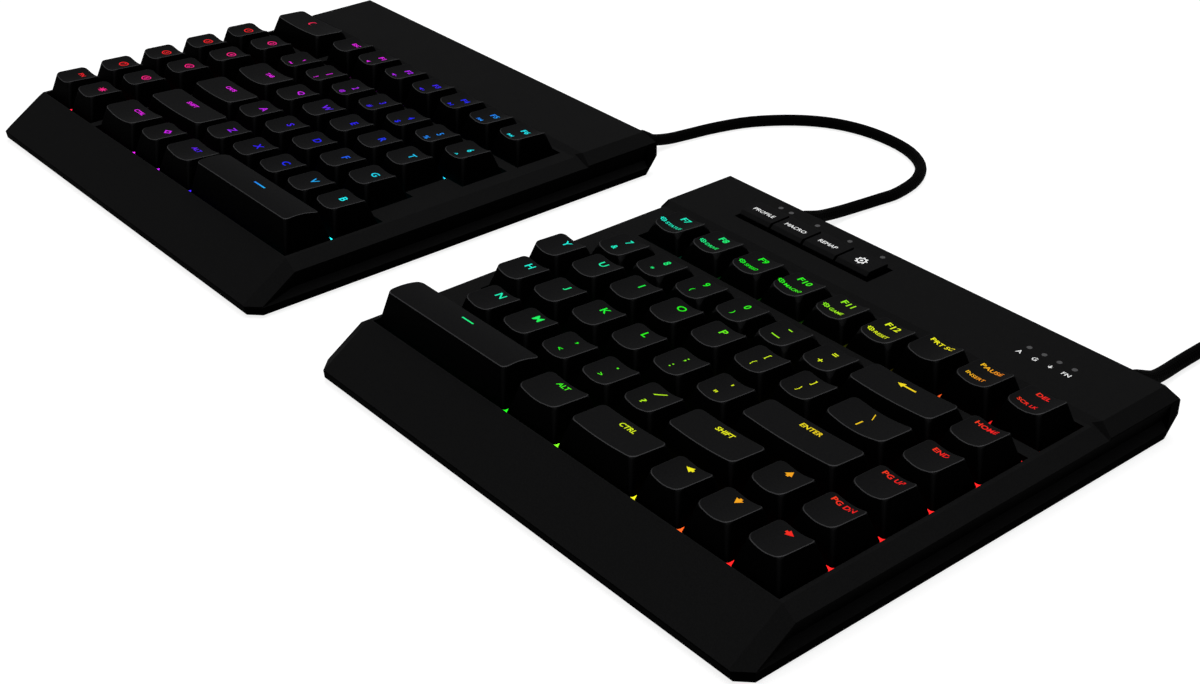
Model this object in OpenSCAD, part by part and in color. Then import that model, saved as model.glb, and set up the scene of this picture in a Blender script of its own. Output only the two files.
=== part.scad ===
// Split mechanical keyboard: two low wedge-fronted modules joined by a link cord,
// 95 tapered keycaps on sprung switches, four buttons, indicator lights and a USB cord.
// The origin is on the desk, in the middle of the two modules. +X is to the typist's right, +Y to the rear.

/* [Key grid] */
// Distance from one key to the next
key_pitch = 19.05; // [18.6:0.05:19.6]
// Extra space between the number row and the function row
function_row_gap = 5.7; // [3:0.1:8]
// How far a key goes down
key_travel = 4; // [2:0.1:4.4]

/* [Keycaps] */
// Gap between the skirts of neighbouring caps
cap_gap = 0.85; // [0.6:0.05:1.4]
// Height of a cap from its skirt to the middle of its top
cap_h = 7.9; // [7.4:0.1:9]
// How far each side draws in from the skirt to the top
cap_draw = 2.8; // [2:0.1:3.2]
// Slope of the cap tops, in degrees, lower at the rear
cap_tilt = 4; // [0:0.5:6]
// Depth of the dish across a narrow cap
dish_depth = 1.5; // [0.6:0.1:1.8]
// Depth of the dish across a wide cap
wide_dish_depth = 0.7; // [0.3:0.1:1]
// Radius of the crown along a space bar
bar_crown_r = 25; // [20:1:40]
// Rise of a space bar's crown over a plain cap's middle
bar_crown_rise = 4.1; // [2:0.1:5]
// How much lower the caps of the right number and function rows are
low_row_drop = 2.6; // [0:0.1:2.6]
// How much higher the wide caps at the right end of the lower rows are
wide_rise = 0.9; // [0:0.1:1.5]
// Thickness of a cap's sides
cap_wall = 1.3; // [1:0.1:1.5]
// Thickness of a cap's top in the middle
cap_roof = 1.3; // [1:0.1:1.6]
// Flat cut on the four upright corners of a cap
cap_corner = 0.6; // [0.3:0.1:1]

/* [Switches] */
// Side of the square slider
slider_w = 6.4; // [5.8:0.1:6.6]
// Clearance between the slider and its housing
slider_gap = 0.3; // [0.2:0.05:0.5]
// Side of the part of the housing below the plate
housing_w = 13.8; // [13:0.1:14.2]
// Side of the housing's flange on the plate
housing_flange_w = 15.4; // [15:0.1:16]
// Height of the housing over the plate
housing_h = 5.2; // [4.8:0.1:5.3]
// Clearance of a housing in its hole in the plate
housing_gap = 0.1; // [0.05:0.05:0.2]

/* [Stack] */
// Height of the rubber feet below the case
foot_h = 1; // [0.6:0.1:2]
// Thickness of the case floor
floor_t = 1.4; // [1.2:0.1:1.8]
// Height of the pads that carry the circuit board
board_pad_h = 0.6; // [0.4:0.1:1]
// Thickness of the circuit board
board_t = 1.2; // [1:0.1:1.6]
// From the top of the circuit board to the top of the switch plate
board_to_plate = 5; // [4.6:0.1:5.4]
// Thickness of the switch plate
plate_t = 1.2; // [1:0.1:1.6]
// From the top of the plate up to the skirts of the caps
plate_to_skirt = 6; // [5.7:0.1:6.6]
// How far the deck stands over the skirts of the caps
deck_over_skirt = 0.8; // [0.2:0.1:1.4]
// Rise of the rear panel over the deck
rear_rise = 1.3; // [0.6:0.1:2]

/* [Case] */
// Gap between the two modules
module_gap = 42.4; // [42:0.1:80]
// How far the left module stands behind the right one
left_setback = 1.5; // [0:0.1:4]
// From the outermost keys to the side of a module
side_margin = 7; // [6.6:0.1:9]
// Depth of the sloping front lip
lip_depth = 17.8; // [16.5:0.1:22]
// Depth of the rear panel, from the function row to the rear wall
rear_depth = 38.3; // [37:0.1:44]
// Wall thickness of the shells
wall = 2; // [1.6:0.1:2.4]
// Space between a block of keys and the edge of its well
well_gap = 0.5; // [0.3:0.05:0.8]
// Height of the bottom shell's band
band_h = 2.8; // [2.6:0.1:3.2]
// Upright edge of the top shell at the front of the lip
lip_edge = 0.6; // [0.4:0.1:1]
// Width of the bevel along the sides of the deck
bevel_w = 5; // [3:0.1:5.4]
// Drop of the bevel along the sides of the deck
bevel_drop = 3.2; // [2:0.1:4]
// Depth of the groove along the sides
groove_d = 2.2; // [1:0.1:2.4]
// Rise of the ledge at the foot of the groove
ledge_rise = 2.4; // [1.6:0.1:3]
// Cut on the four corners of a module, seen from above
corner_cut = 4.6; // [2:0.1:6]

/* [Screws and feet] */
// Diameter of the screw shank
screw_d = 2.5; // [2:0.1:3]
// Diameter of the screw head
screw_head_d = 5.4; // [4.8:0.1:5.8]
// Thickness of the screw head
screw_head_h = 1; // [0.8:0.1:1.1]
// Length of the screw under its head
screw_len = 5.4; // [4:0.1:5.8]
// Diameter of the posts that take the screws
post_d = 7; // [6:0.1:7.4]
// Clearance around the screws, lenses and other seated pieces
seat_gap = 0.05; // [0.02:0.01:0.1]
// Diameter of a rubber foot
foot_d = 13; // [10:0.5:15]
// Depth of the pocket that holds a foot
foot_pocket = 0.6; // [0.4:0.1:0.7]

/* [Buttons and lights] */
// Distance from one button to the next
button_pitch = 15.3; // [14.9:0.1:16]
// Width of a button
button_w = 14.4; // [13:0.1:14.5]
// Depth of a button
button_d = 10.1; // [9:0.1:10.4]
// How far a button stands over the rear panel
button_rise = 1.7; // [1:0.1:2.2]
// How far a button goes down
button_travel = 1; // [0.5:0.1:1.2]
// Bevel along the front edge of a button
button_bevel = 1.3; // [0.5:0.1:1.6]
// Dark gap in front of the buttons
button_front_gap = 2; // [1:0.1:3]
// Dark gap to the right of the last button
button_side_gap = 2.1; // [1:0.1:3]
// Clearance around the buttons
button_gap = 0.3; // [0.2:0.05:0.5]
// Diameter of an indicator lens
lens_d = 1.8; // [1.2:0.1:2.4]

/* [Cords] */
// Diameter of the link cord
link_d = 3.6; // [3:0.1:3.9]
// Diameter of the USB cord
usb_d = 4.2; // [3.6:0.1:4.4]
// Length of the boots that guard the cords
boot_len = 4; // [2:0.5:6]
// Diameter of the boots at the rear wall
boot_d = 5.6; // [5.4:0.1:6.4]
// Outer radius of the coiled USB cord, to the middle of the cord
coil_r = 29; // [28:0.5:32]
// Spacing of the loops in the coil
coil_pitch = 5.2; // [5.2:0.1:6]
// Turns in each of the four layers of the coil
layer_turns = 2.5; // [1.5:1:3.5]
// Width of the tie around the coil
tie_w = 5; // [4:0.5:6]
// Thickness of the tie
tie_t = 0.8; // [0.6:0.1:1.2]

/* [Hidden] */
$fn = 48;
eps = 0.01;

// Grid of one module: both are nine and a half keys wide
grid_units = 9.5;
left_first_unit = -2.25;
right_first_unit = 6.5;
grid_half = grid_units * key_pitch / 2;
side_x = grid_half + side_margin;
function_row = 5;
function_row_y = function_row * key_pitch + function_row_gap;
grid_rear = function_row_y + key_pitch;

// Heights, from the desk up
case_z = foot_h;
floor_z = case_z + floor_t;
board_z = floor_z + board_pad_h;
board_top = board_z + board_t;
plate_top = board_top + board_to_plate;
skirt_z = plate_top + plate_to_skirt;
deck_z = skirt_z + deck_over_skirt;
rear_z = deck_z + rear_rise;
parting_z = case_z + band_h;
lip_z = parting_z + lip_edge;
housing_top = plate_top + housing_h;

// Depths of one module, from the front edge of its keys
deck_front_y = -0.9;
front_y = deck_front_y - lip_depth;
step_y = grid_rear + 2;
step_run = 3;
rear_y = grid_rear + rear_depth;
rear_bevel_run = 3.5;
rear_bevel_drop = 4.7;
rear_flat_h = 5;
rear_flat_z = rear_z - rear_bevel_drop - rear_flat_h;
undercut_slope = 0.8;
// Bevel along the sides of the rear panel, and how far the side grooves stop short of the rear
panel_bevel_w = 3.7;
panel_bevel_drop = 4;
groove_stop = 4.5;
bottom_inset = 0.6;
lip_slope = (deck_z - lip_z) / lip_depth;
lip_angle = atan(lip_slope);

// Places of the two modules
module_x = side_x + module_gap / 2;
middle_y = (front_y + rear_y + left_setback) / 2;

// Screws, feet and pads in one module
screw_gap = 0.2;
screw_end_gap = 0.8;
screw_seat_z = case_z + screw_gap + screw_head_h;
screw_x = side_x - 12;
screw_front_y = deck_front_y - 6;
screw_rear_y = rear_y - 12;
foot_x = side_x - 27;
foot_front_y = deck_front_y - 7;
foot_rear_y = rear_y - 18;
pad_d = 5;
board_margin = 1;
board_rear_y = rear_y - 9.5;
board_hole_gap = 0.5;

// Rows of keys as first unit, row and width in units
wide_top_keys = [[-2.25, 5, 2]];
escape_keys = [[0, 5, 1]];
left_function_row = [for (i = [0:5]) [1 + i, 5, 1]];
macro_block = [for (row = [0:4], i = [0:1]) [-2.25 + i, row, 1]];
left_number_row = [for (i = [0:6]) [i, 4, 1]];
tab_keys = [[0, 3, 1.5]];
left_upper_row = [for (i = [0:4]) [1.5 + i, 3, 1]];
caps_lock_keys = [[0, 2, 1.75]];
left_home_row = [for (i = [0:4]) [1.75 + i, 2, 1]];
left_shift_keys = [[0, 1, 2.25]];
left_lower_row = [for (i = [0:4]) [2.25 + i, 1, 1]];
left_control_keys = [[0, 0, 1.5]];
system_keys = [[1.5, 0, 1]];
left_alt_keys = [[2.5, 0, 1.25]];
left_bars = [[3.75, 0, 3.5]];
left_keys = concat(wide_top_keys, escape_keys, left_function_row, macro_block, left_number_row, tab_keys,
    left_upper_row, caps_lock_keys, left_home_row, left_shift_keys, left_lower_row, left_control_keys,
    system_keys, left_alt_keys, left_bars);

right_function_row = [for (i = [0:5]) [7 + i, 5, 1]];
edit_row = [for (i = [0:2]) [13 + i, 5, 1]];
right_number_row = [for (i = [0:5]) [7 + i, 4, 1]];
backspace_keys = [[13, 4, 2]];
navigation_column = [for (row = [1:4]) [15, row, 1]];
right_upper_row = concat([for (i = [0:6]) [6.5 + i, 3, 1]], [[13.5, 3, 1.5]]);
right_home_row = [for (i = [0:5]) [6.75 + i, 2, 1]];
enter_keys = [[12.75, 2, 2.25]];
right_lower_row = [for (i = [0:4]) [7.25 + i, 1, 1]];
right_shift_keys = [[12.25, 1, 1.75]];
right_bars = [[6.5, 0, 3.5]];
right_alt_keys = [[10, 0, 1.25]];
right_control_keys = [[11.25, 0, 1.75]];
up_keys = [[14, 1, 1]];
left_arrow_keys = [[13, 0, 1]];
down_keys = [[14, 0, 1]];
right_arrow_keys = [[15, 0, 1]];
right_keys = concat(right_function_row, edit_row, right_number_row, backspace_keys, navigation_column,
    right_upper_row, right_home_row, enter_keys, right_lower_row, right_shift_keys, right_bars,
    right_alt_keys, right_control_keys, up_keys, left_arrow_keys, down_keys, right_arrow_keys);

// Wells in the deck as first unit, last unit, first row and number of rows
left_wells = [[-2.25, -0.25, 0, 5], [-2.25, -0.25, 5, 1], [0, 7, 5, 1], [0, 7, 4, 1], [0, 6.5, 3, 1],
    [0, 6.75, 2, 1], [0, 7.25, 0, 2]];
right_wells = [[7, 16, 5, 1], [7, 16, 4, 1], [6.5, 16, 3, 1], [6.75, 16, 2, 1], [7.25, 16, 1, 1],
    [6.5, 16, 0, 1]];

// Width from which a cap has the shallow dish of the wide caps
wide_units = 1.75;
// Where the cap's socket ends and the slider begins
socket_drop = 0.8;
socket_z = skirt_z + socket_drop;
socket_d = 5.6;
stem_h = 2.6;
stem_arm = 4;
stem_t = 1.2;
slider_len = 5.8;
housing_floor_t = 1.2;
housing_step_h = 2.2;
housing_shoulder_w = 13;
housing_top_w = 11;
flange_t = 1;
bar_crown_y = -2.3;
bar_crown_fall = 1.2;

// Rear panel of the right module, from its middle
first_button_x = -61.8;
button_rear_y = rear_y - 12.2;
button_front_y = button_rear_y - button_d;
recess_left = first_button_x - button_w / 2 - button_gap;
recess_right = first_button_x + 3 * button_pitch + button_w / 2 + button_side_gap;
recess_front = button_front_y - button_front_gap;
recess_rear = button_rear_y + button_gap;
panel_under = rear_z - wall;
button_lip = 0.8;
button_flange_t = 1.3;
tact_w = 6;
tact_h = 4;
plunger_d = 3.2;
plunger_gap = 0.2;
button_light_y = rear_y - 7.8;
button_light_x = [-63.2, -58.1, -45.4, -30.1, -15.1];
status_light_y = rear_y - 16.8;
status_light_x = [for (i = [0:3]) 54 + 5.7 * i];
lens_below = 0.8;

// Cord boots, from the middle of each module
cord_z = rear_flat_z + 0.2 * rear_flat_h;
left_boot_x = 81.5;
right_boot_x = -65;
usb_boot_x = 77.5;
boot_neck_d = 4.6;
boot_collar_d = 8;
boot_collar_t = 1.2;
boot_collar_in = 2.4;
boot_tip = 0.6;

// Routes of the cords on the desk, between the boots and on to the coil
link_route = [[-37.2, 98, 7], [-37.2, 101.5, 5], [-37.6, 109.6, 2.9], [-37, 118, 2.1], [-34.6, 132, 2],
    [-29.5, 147, 2], [-19.2, 161.6, 2], [-6.3, 171.4, 2], [9.9, 176, 2], [28.4, 175, 2], [42.3, 168.2, 2],
    [50.3, 157, 2], [53.3, 143.4, 2], [52.6, 134.5, 2], [51.6, 125, 2.2], [51.3, 115, 3], [52.2, 104.5, 5],
    [53.3, 98.5, 7]];
usb_route = [[196.1, 97.5, 7], [195.8, 104.5, 4], [195, 112, 2.7], [194.4, 119.3, 2.3], [194.2, 126.5, 2.3],
    [194.1, 136, 2.3], [194.3, 147, 2.7], [194.8, 156.5, 3.2]];
coil_side_x = 195;
coil_x = coil_side_x + coil_r;
coil_y = 172;
tie_gap = 0.5;
coil_z = tie_t + tie_gap + usb_d / 2;
coil_layers = 4;
loop_rings = 24;
plug_route = [[coil_x + coil_r, 160, 16.5], [coil_x + coil_r, 148, 11], [coil_x + coil_r, 138, 6.5],
    [coil_x + coil_r, 131, 4.6]];
plug_w = 16;
plug_h = 8.4;
plug_len = 24;
plug_y = 122;
plug_boot_len = 8;
plug_shell = [12, 11.8, 4.5];

// Place of a point of the grid in its module
function grid_x(unit, first_unit) = (unit - first_unit) * key_pitch - grid_half;
function row_y(row) = row < function_row ? row * key_pitch : function_row_y;
function key_x(key, first_unit) = grid_x(key[0] + key[2] / 2, first_unit);
function key_y(key) = row_y(key[1]) + key_pitch / 2;
// Depth of the inner face of the lip at a height
function lip_under_y(z) = deck_front_y + (z - deck_z + wall / cos(lip_angle)) / lip_slope;
// Depth of the rear wall below its flat
function undercut_y(z) = rear_y - (rear_flat_z - z) * undercut_slope;
// Radius whose arc sinks by a depth over a width
function dish_r(w, depth) = w * w / (8 * depth) + depth / 2;

module at_left() {
    translate([-module_x, left_setback - middle_y, 0]) children();
}

module at_right() {
    translate([module_x, -middle_y, 0]) children();
}

// Outline across the depth of a module, pushed out along X
module across(points, width) {
    rotate([90, 0, 90]) linear_extrude(width, center = true) polygon(points);
}

// Outline across the width of a module, pushed back along Y from a start
module along(points, start, length) {
    translate([0, start + length, 0]) rotate([90, 0, 0]) linear_extrude(length) polygon(points);
}

// Both sides of a module
module both_sides() {
    children();
    mirror([1, 0, 0]) children();
}

module plan(height) {
    c = corner_cut;
    linear_extrude(height) polygon([
        [-side_x, front_y + c], [-side_x + c, front_y], [side_x - c, front_y], [side_x, front_y + c],
        [side_x, rear_y], [-side_x, rear_y]
    ]);
}

module at_screws() {
    for (x = [-screw_x, screw_x], y = [screw_front_y, screw_rear_y]) translate([x, y, 0]) children();
}

// Outline of what a bevel takes from a side whose top lies at a height
function bevel_outline(top, w, drop) =
    let (fall = drop / w, above = 3 * rear_rise)
    [[side_x - w - above / fall, top + above], [side_x + 2, top - drop - 2 * fall], [side_x + 2, top + above]];

// What the bevel takes from the side of the deck, of the rear panel and, tilted with the lip, of the lip
module bevel_cut() {
    edge_x = side_x - bevel_w;
    past = bevel_w + 2;
    deck_outline = bevel_outline(deck_z, bevel_w, bevel_drop);
    panel_outline = bevel_outline(rear_z, panel_bevel_w, panel_bevel_drop);
    panel_y = step_y + step_run;
    along(deck_outline, front_y - 1, step_y - front_y + 1);
    hull() {
        along(deck_outline, step_y - eps, eps);
        along(panel_outline, panel_y, eps);
    }
    along(panel_outline, panel_y, rear_y - panel_y + 1);
    tilted_fall = bevel_drop / bevel_w * cos(lip_angle);
    translate([0, deck_front_y, deck_z]) rotate([lip_angle, 0, 0])
        along([[edge_x, 0], [edge_x + past, -tilted_fall * past], [edge_x + past, deck_z], [edge_x, deck_z]],
            -2 * lip_depth, 2 * lip_depth);
}

// The groove along the side: an overhang above and a lit ledge below
module groove_cut() {
    top = deck_z - bevel_drop;
    inner = parting_z + ledge_rise;
    outer_x = side_x + 1;
    overhang = top - inner;
    along([[outer_x, top], [side_x, top], [side_x - groove_d, inner], [side_x, parting_z],
        [outer_x, parting_z - ledge_rise / groove_d]], deck_front_y, rear_y - deck_front_y - groove_stop);
    intersection() {
        along([[outer_x, parting_z - ledge_rise / groove_d], [side_x, parting_z], [side_x - groove_d, inner],
            [side_x - groove_d, top], [outer_x, top]], front_y, lip_depth);
        translate([0, deck_front_y, top]) rotate([lip_angle, 0, 0])
            along([[outer_x, 0], [side_x, 0], [side_x - groove_d, -overhang * cos(lip_angle)],
                [side_x - groove_d, -2 * overhang], [outer_x, -2 * overhang]], -2 * lip_depth, 2 * lip_depth);
    }
}

// Top shell of either module, with wells for its keys
module top_shell(wells, first_unit) {
    outer = [[front_y, parting_z], [front_y, lip_z], [deck_front_y, deck_z], [step_y, deck_z],
        [step_y + step_run, rear_z], [rear_y - rear_bevel_run, rear_z], [rear_y, rear_z - rear_bevel_drop],
        [rear_y, rear_flat_z], [undercut_y(parting_z), parting_z]];
    under = parting_z - 1;
    inner = [[lip_under_y(under), under], [lip_under_y(deck_z - wall), deck_z - wall],
        [step_y + 1, deck_z - wall], [step_y + step_run + 1, panel_under],
        [rear_y - rear_bevel_run - 0.6 * wall, panel_under], [rear_y - wall, rear_z - rear_bevel_drop - 0.4 * wall],
        [rear_y - wall, rear_flat_z], [undercut_y(under) - wall, under]];
    difference() {
        union() {
            difference() {
                intersection() {
                    across(outer, 2 * side_x);
                    plan(rear_z + 1);
                }
                both_sides() bevel_cut();
                both_sides() groove_cut();
                across(inner, 2 * (side_x - groove_d - wall));
            }
            intersection() {
                at_screws() translate([0, 0, parting_z]) cylinder(d = post_d, h = rear_z);
                across([for (p = outer) [p[0], p[1] - 0.3 * wall]], 2 * screw_x + post_d);
                translate([0, 0, parting_z + rear_z / 2]) cube([4 * side_x, 4 * rear_y, rear_z], center = true);
            }
        }
        for (w = wells) {
            x0 = grid_x(w[0], first_unit) - well_gap;
            x1 = grid_x(w[1], first_unit) + well_gap;
            y0 = row_y(w[2]) - well_gap;
            translate([x0, y0, deck_z - wall - 1]) cube([x1 - x0, w[3] * key_pitch + 2 * well_gap, wall + 2]);
        }
        at_screws() translate([0, 0, screw_seat_z])
            cylinder(d = screw_d + 2 * seat_gap, h = screw_len + screw_end_gap);
    }
}

// Hole in the rear wall for a cord's boot
module boot_hole(x) {
    translate([x, rear_y + 1, cord_z]) rotate([90, 0, 0])
        cylinder(d = boot_neck_d + 2 * seat_gap, h = wall + 2);
}

module left_top_shell() color("#1b1b1d") at_left() difference() {
    top_shell(left_wells, left_first_unit);
    boot_hole(left_boot_x);
}

module right_top_shell() color("#1b1b1d") at_right() difference() {
    top_shell(right_wells, right_first_unit);
    boot_hole(right_boot_x);
    boot_hole(usb_boot_x);
    translate([recess_left, recess_front, panel_under - 1])
        cube([recess_right - recess_left, recess_rear - recess_front, wall + 2]);
    at_lights() translate([0, 0, panel_under - 1]) cylinder(d = lens_d + 2 * seat_gap, h = wall + 2);
}

module at_lights() {
    for (x = button_light_x) translate([x, button_light_y, 0]) children();
    for (x = status_light_x) translate([x, status_light_y, 0]) children();
}

module at_feet() {
    for (x = [-foot_x, foot_x], y = [foot_front_y, foot_rear_y]) translate([x, y, 0]) children();
}

// Bottom shell of either module: a tray with board pads, screw posts and pockets for the feet
module bottom_shell() {
    outer = [[front_y + bottom_inset, case_z], [front_y, parting_z], [undercut_y(parting_z), parting_z],
        [undercut_y(case_z), case_z]];
    inner = [[front_y + 2 * wall, floor_z], [front_y + 2 * wall, parting_z + 1],
        [undercut_y(floor_z) - 1.5 * wall, parting_z + 1], [undercut_y(floor_z) - 1.5 * wall, floor_z]];
    pocket_d = foot_d + 2 * seat_gap;
    difference() {
        union() {
            difference() {
                intersection() {
                    across(outer, 2 * side_x);
                    plan(parting_z);
                }
                across(inner, 2 * (side_x - groove_d - wall));
            }
            for (x = [-0.8 * grid_half, 0, 0.8 * grid_half], y = [key_pitch / 2, 2.5 * key_pitch, grid_rear])
                translate([x, y, floor_z - eps]) cylinder(d = pad_d, h = board_pad_h + eps);
            at_screws() translate([0, 0, floor_z - eps]) cylinder(d = post_d, h = parting_z - floor_z + eps);
        }
        at_screws() {
            cylinder(d = screw_head_d + 2 * screw_gap, h = screw_seat_z);
            cylinder(d = screw_d + 2 * screw_gap, h = parting_z + 1);
        }
        at_feet() translate([0, 0, case_z - eps]) cylinder(d = pocket_d, h = foot_pocket + eps);
    }
}

module left_bottom_shell() color("#0e0e10") at_left() bottom_shell();

module right_bottom_shell() color("#0e0e10") at_right() bottom_shell();

module case_screws() {
    at_screws() translate([0, 0, screw_seat_z]) {
        translate([0, 0, -screw_head_h]) cylinder(d = screw_head_d, h = screw_head_h);
        cylinder(d = screw_d, h = screw_len);
    }
}

module left_case_screws() color("#55565a") at_left() case_screws();

module right_case_screws() color("#55565a") at_right() case_screws();

module rubber_feet() {
    at_feet() cylinder(d = foot_d, h = foot_h + foot_pocket);
}

module left_rubber_feet() color("#202020") at_left() rubber_feet();

module right_rubber_feet() color("#202020") at_right() rubber_feet();

module switch_plate(keys, first_unit) {
    margin = 1.4;
    hole = housing_w + 2 * housing_gap;
    difference() {
        translate([-grid_half - margin, -margin, plate_top - plate_t])
            cube([2 * (grid_half + margin), grid_rear + 2 * margin, plate_t]);
        for (key = keys) translate([key_x(key, first_unit), key_y(key), plate_top - plate_t / 2])
            cube([hole, hole, 2 * plate_t], center = true);
    }
}

module left_switch_plate() color("#2b2b2e") at_left() switch_plate(left_keys, left_first_unit);

module right_switch_plate() color("#2b2b2e") at_right() switch_plate(right_keys, right_first_unit);

module circuit_board() {
    difference() {
        translate([-grid_half - board_margin, -board_margin, board_z])
            cube([2 * (grid_half + board_margin), board_rear_y + board_margin, board_t]);
        at_screws() cylinder(d = post_d + 2 * board_hole_gap, h = plate_top);
    }
}

module left_circuit_board() color("#1d3a2a") at_left() circuit_board();

module right_circuit_board() color("#1d3a2a") at_right() circuit_board();

// Square block centred on a switch
module block(w, z0, z1) {
    translate([-w / 2, -w / 2, z0]) cube([w, w, z1 - z0]);
}

module switch_housing() {
    difference() {
        union() {
            block(housing_w, board_top, plate_top + eps);
            block(housing_flange_w, plate_top, plate_top + flange_t);
            block(housing_shoulder_w, plate_top, plate_top + flange_t + housing_step_h);
            block(housing_top_w, plate_top, housing_top);
        }
        block(slider_w + 2 * slider_gap, board_top + housing_floor_t, housing_top + 1);
    }
}

module left_switch_housings() color("#303034") at_left()
    for (key = left_keys) translate([key_x(key, left_first_unit), key_y(key), 0]) switch_housing();

module right_switch_housings() color("#303034") at_right()
    for (key = right_keys) translate([key_x(key, right_first_unit), key_y(key), 0]) switch_housing();

// Block that draws in evenly from its skirt, with cut corners, on top of height z = 0
module drawn_block(bottom_w, bottom_d, draw, h, corner) {
    diagonal = (bottom_w + bottom_d) / 2 / sqrt(2) - corner;
    diagonal_draw = draw * sqrt(2);
    reach = bottom_w + bottom_d;
    intersection() {
        along([[-bottom_w / 2, 0], [bottom_w / 2, 0], [bottom_w / 2 - draw, h], [draw - bottom_w / 2, h]],
            -bottom_d / 2, bottom_d);
        across([[-bottom_d / 2, 0], [bottom_d / 2, 0], [bottom_d / 2 - draw, h], [draw - bottom_d / 2, h]], bottom_w);
        both_diagonals() along([[-diagonal, 0], [diagonal, 0], [diagonal - diagonal_draw, h],
            [diagonal_draw - diagonal, h]], -reach / 2, reach);
    }
}

// The same cut on both diagonals
module both_diagonals() {
    intersection() {
        rotate([0, 0, 45]) children();
        rotate([0, 0, -45]) children();
    }
}

// Hollow under a cap, and the socket that takes its slider
module cap_inside(w, d, h) {
    translate([0, 0, -eps]) drawn_block(w - 2 * cap_wall, d - 2 * cap_wall, cap_draw, h - cap_roof, 0);
}

module socket(h) {
    difference() {
        translate([0, 0, socket_drop]) cylinder(d = socket_d, h = h - cap_roof - socket_drop + eps);
        translate([0, 0, socket_drop - eps]) stem(seat_gap);
    }
}

// Cross-shaped stem between slider and cap
module stem(gap) {
    arm = stem_arm + 2 * gap;
    t = stem_t + 2 * gap;
    translate([-arm / 2, -t / 2, 0]) cube([arm, t, stem_h + gap]);
    translate([-t / 2, -arm / 2, 0]) cube([t, arm, stem_h + gap]);
}

// Cap with a dish from side to side, drop below the plain height
module dished_cap(units, drop) {
    w = units * key_pitch - cap_gap;
    d = key_pitch - cap_gap;
    h = cap_h - drop;
    depth = units < wide_units ? dish_depth : wide_dish_depth;
    r = dish_r(w - 2 * cap_draw, depth);
    rim = h + depth;
    difference() {
        drawn_block(w, d, cap_draw, rim, cap_corner);
        translate([0, 0, h]) rotate([-cap_tilt, 0, 0]) translate([0, d, r]) rotate([90, 0, 0])
            cylinder(r = r, h = 2 * d, $fn = units < wide_units ? 180 : 720);
        translate([0, 0, rim]) rotate([-cap_tilt, 0, 0]) translate([-w, 0, 0]) cube([2 * w, d, depth + 1]);
        cap_inside(w, d, h);
    }
    socket(h);
}

// Cap with a crown from front to rear
module crowned_bar(units) {
    w = units * key_pitch - cap_gap;
    d = key_pitch - cap_gap;
    crest = cap_h + bar_crown_rise;
    low_top = crest - bar_crown_fall;
    difference() {
        intersection() {
            drawn_block(w, d, cap_draw, crest + eps, cap_corner);
            translate([-w / 2, bar_crown_y, crest - bar_crown_r]) rotate([0, 90, 0])
                cylinder(r = bar_crown_r, h = w, $fn = 360);
        }
        cap_inside(w, d, low_top);
    }
    socket(low_top);
}

module slider() {
    top = socket_z - seat_gap;
    block(slider_w, top - slider_len, top);
    translate([0, 0, top - eps]) stem(0);
}

// Each key of a list: its cap and the slider that it sits on
module keys(list, first_unit, drop = 0, bar = false) {
    for (key = list) translate([key_x(key, first_unit), key_y(key), 0]) {
        translate([0, 0, skirt_z]) {
            if (bar) crowned_bar(key[2]);
            else dished_cap(key[2], drop);
        }
        slider();
    }
}

module left_set(list, bar = false) color("#161618") at_left() keys(list, left_first_unit, 0, bar);

module right_set(list, drop = 0, bar = false) color("#161618") at_right() keys(list, right_first_unit, drop, bar);

// One button, its place counted from the left
module panel_button(place) color("#1f1f22") at_right()
    translate([first_button_x + place * button_pitch, 0, 0]) {
        top = rear_z + button_rise;
        flange_top = panel_under - button_gap;
        under = flange_top - button_flange_t;
        across([[button_front_y, under], [button_rear_y, under], [button_rear_y, top],
            [button_front_y + button_bevel, top], [button_front_y, top - button_bevel]], button_w);
        across([[recess_front - button_lip, under], [recess_rear + button_lip, under],
            [recess_rear + button_lip, flange_top], [recess_front - button_lip, flange_top]], button_w);
    }

// Small switch on the board under each button
module button_switches() color("#3a3a3e") at_right()
    for (place = [0:3]) translate([first_button_x + place * button_pitch, (button_front_y + button_rear_y) / 2, 0]) {
        plunger_top = panel_under - button_gap - button_flange_t - button_travel - plunger_gap;
        block(tact_w, board_top, board_top + tact_h);
        translate([0, 0, board_top]) cylinder(d = plunger_d, h = plunger_top - board_top);
    }

module indicator_lenses() color("#e8ecef") at_right() at_lights()
    translate([0, 0, panel_under - lens_below]) cylinder(d = lens_d, h = wall + lens_below);

// Tapered boot with a neck through the rear wall and a collar inside it
module cord_boot(x, cord_d) {
    translate([x, rear_y, cord_z]) rotate([-90, 0, 0]) {
        cylinder(d1 = boot_d, d2 = cord_d + boot_tip, h = boot_len);
        translate([0, 0, -wall - boot_collar_in]) cylinder(d = boot_neck_d, h = wall + boot_collar_in + eps);
        translate([0, 0, -wall - boot_collar_in - boot_collar_t]) cylinder(d = boot_collar_d, h = boot_collar_t);
    }
}

module left_cord_boot() color("#151517") at_left() cord_boot(left_boot_x, link_d);

module right_cord_boot() color("#151517") at_right() cord_boot(right_boot_x, link_d);

module usb_cord_boot() color("#151517") at_right() cord_boot(usb_boot_x, usb_d);

// Sweep of a round cord along points, with each ring square to the way it runs
function unit(v) = v / norm(v);
function heading(path, i) = unit(path[min(i + 1, len(path) - 1)] - path[max(i - 1, 0)]);
function ring(path, i, r, sides) =
    let (t = heading(path, i), side = unit(cross(t, [0, 0, 1])), up = cross(side, t))
    [for (k = [0:sides - 1]) path[i] + r * (cos(360 * k / sides) * side + sin(360 * k / sides) * up)];

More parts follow.
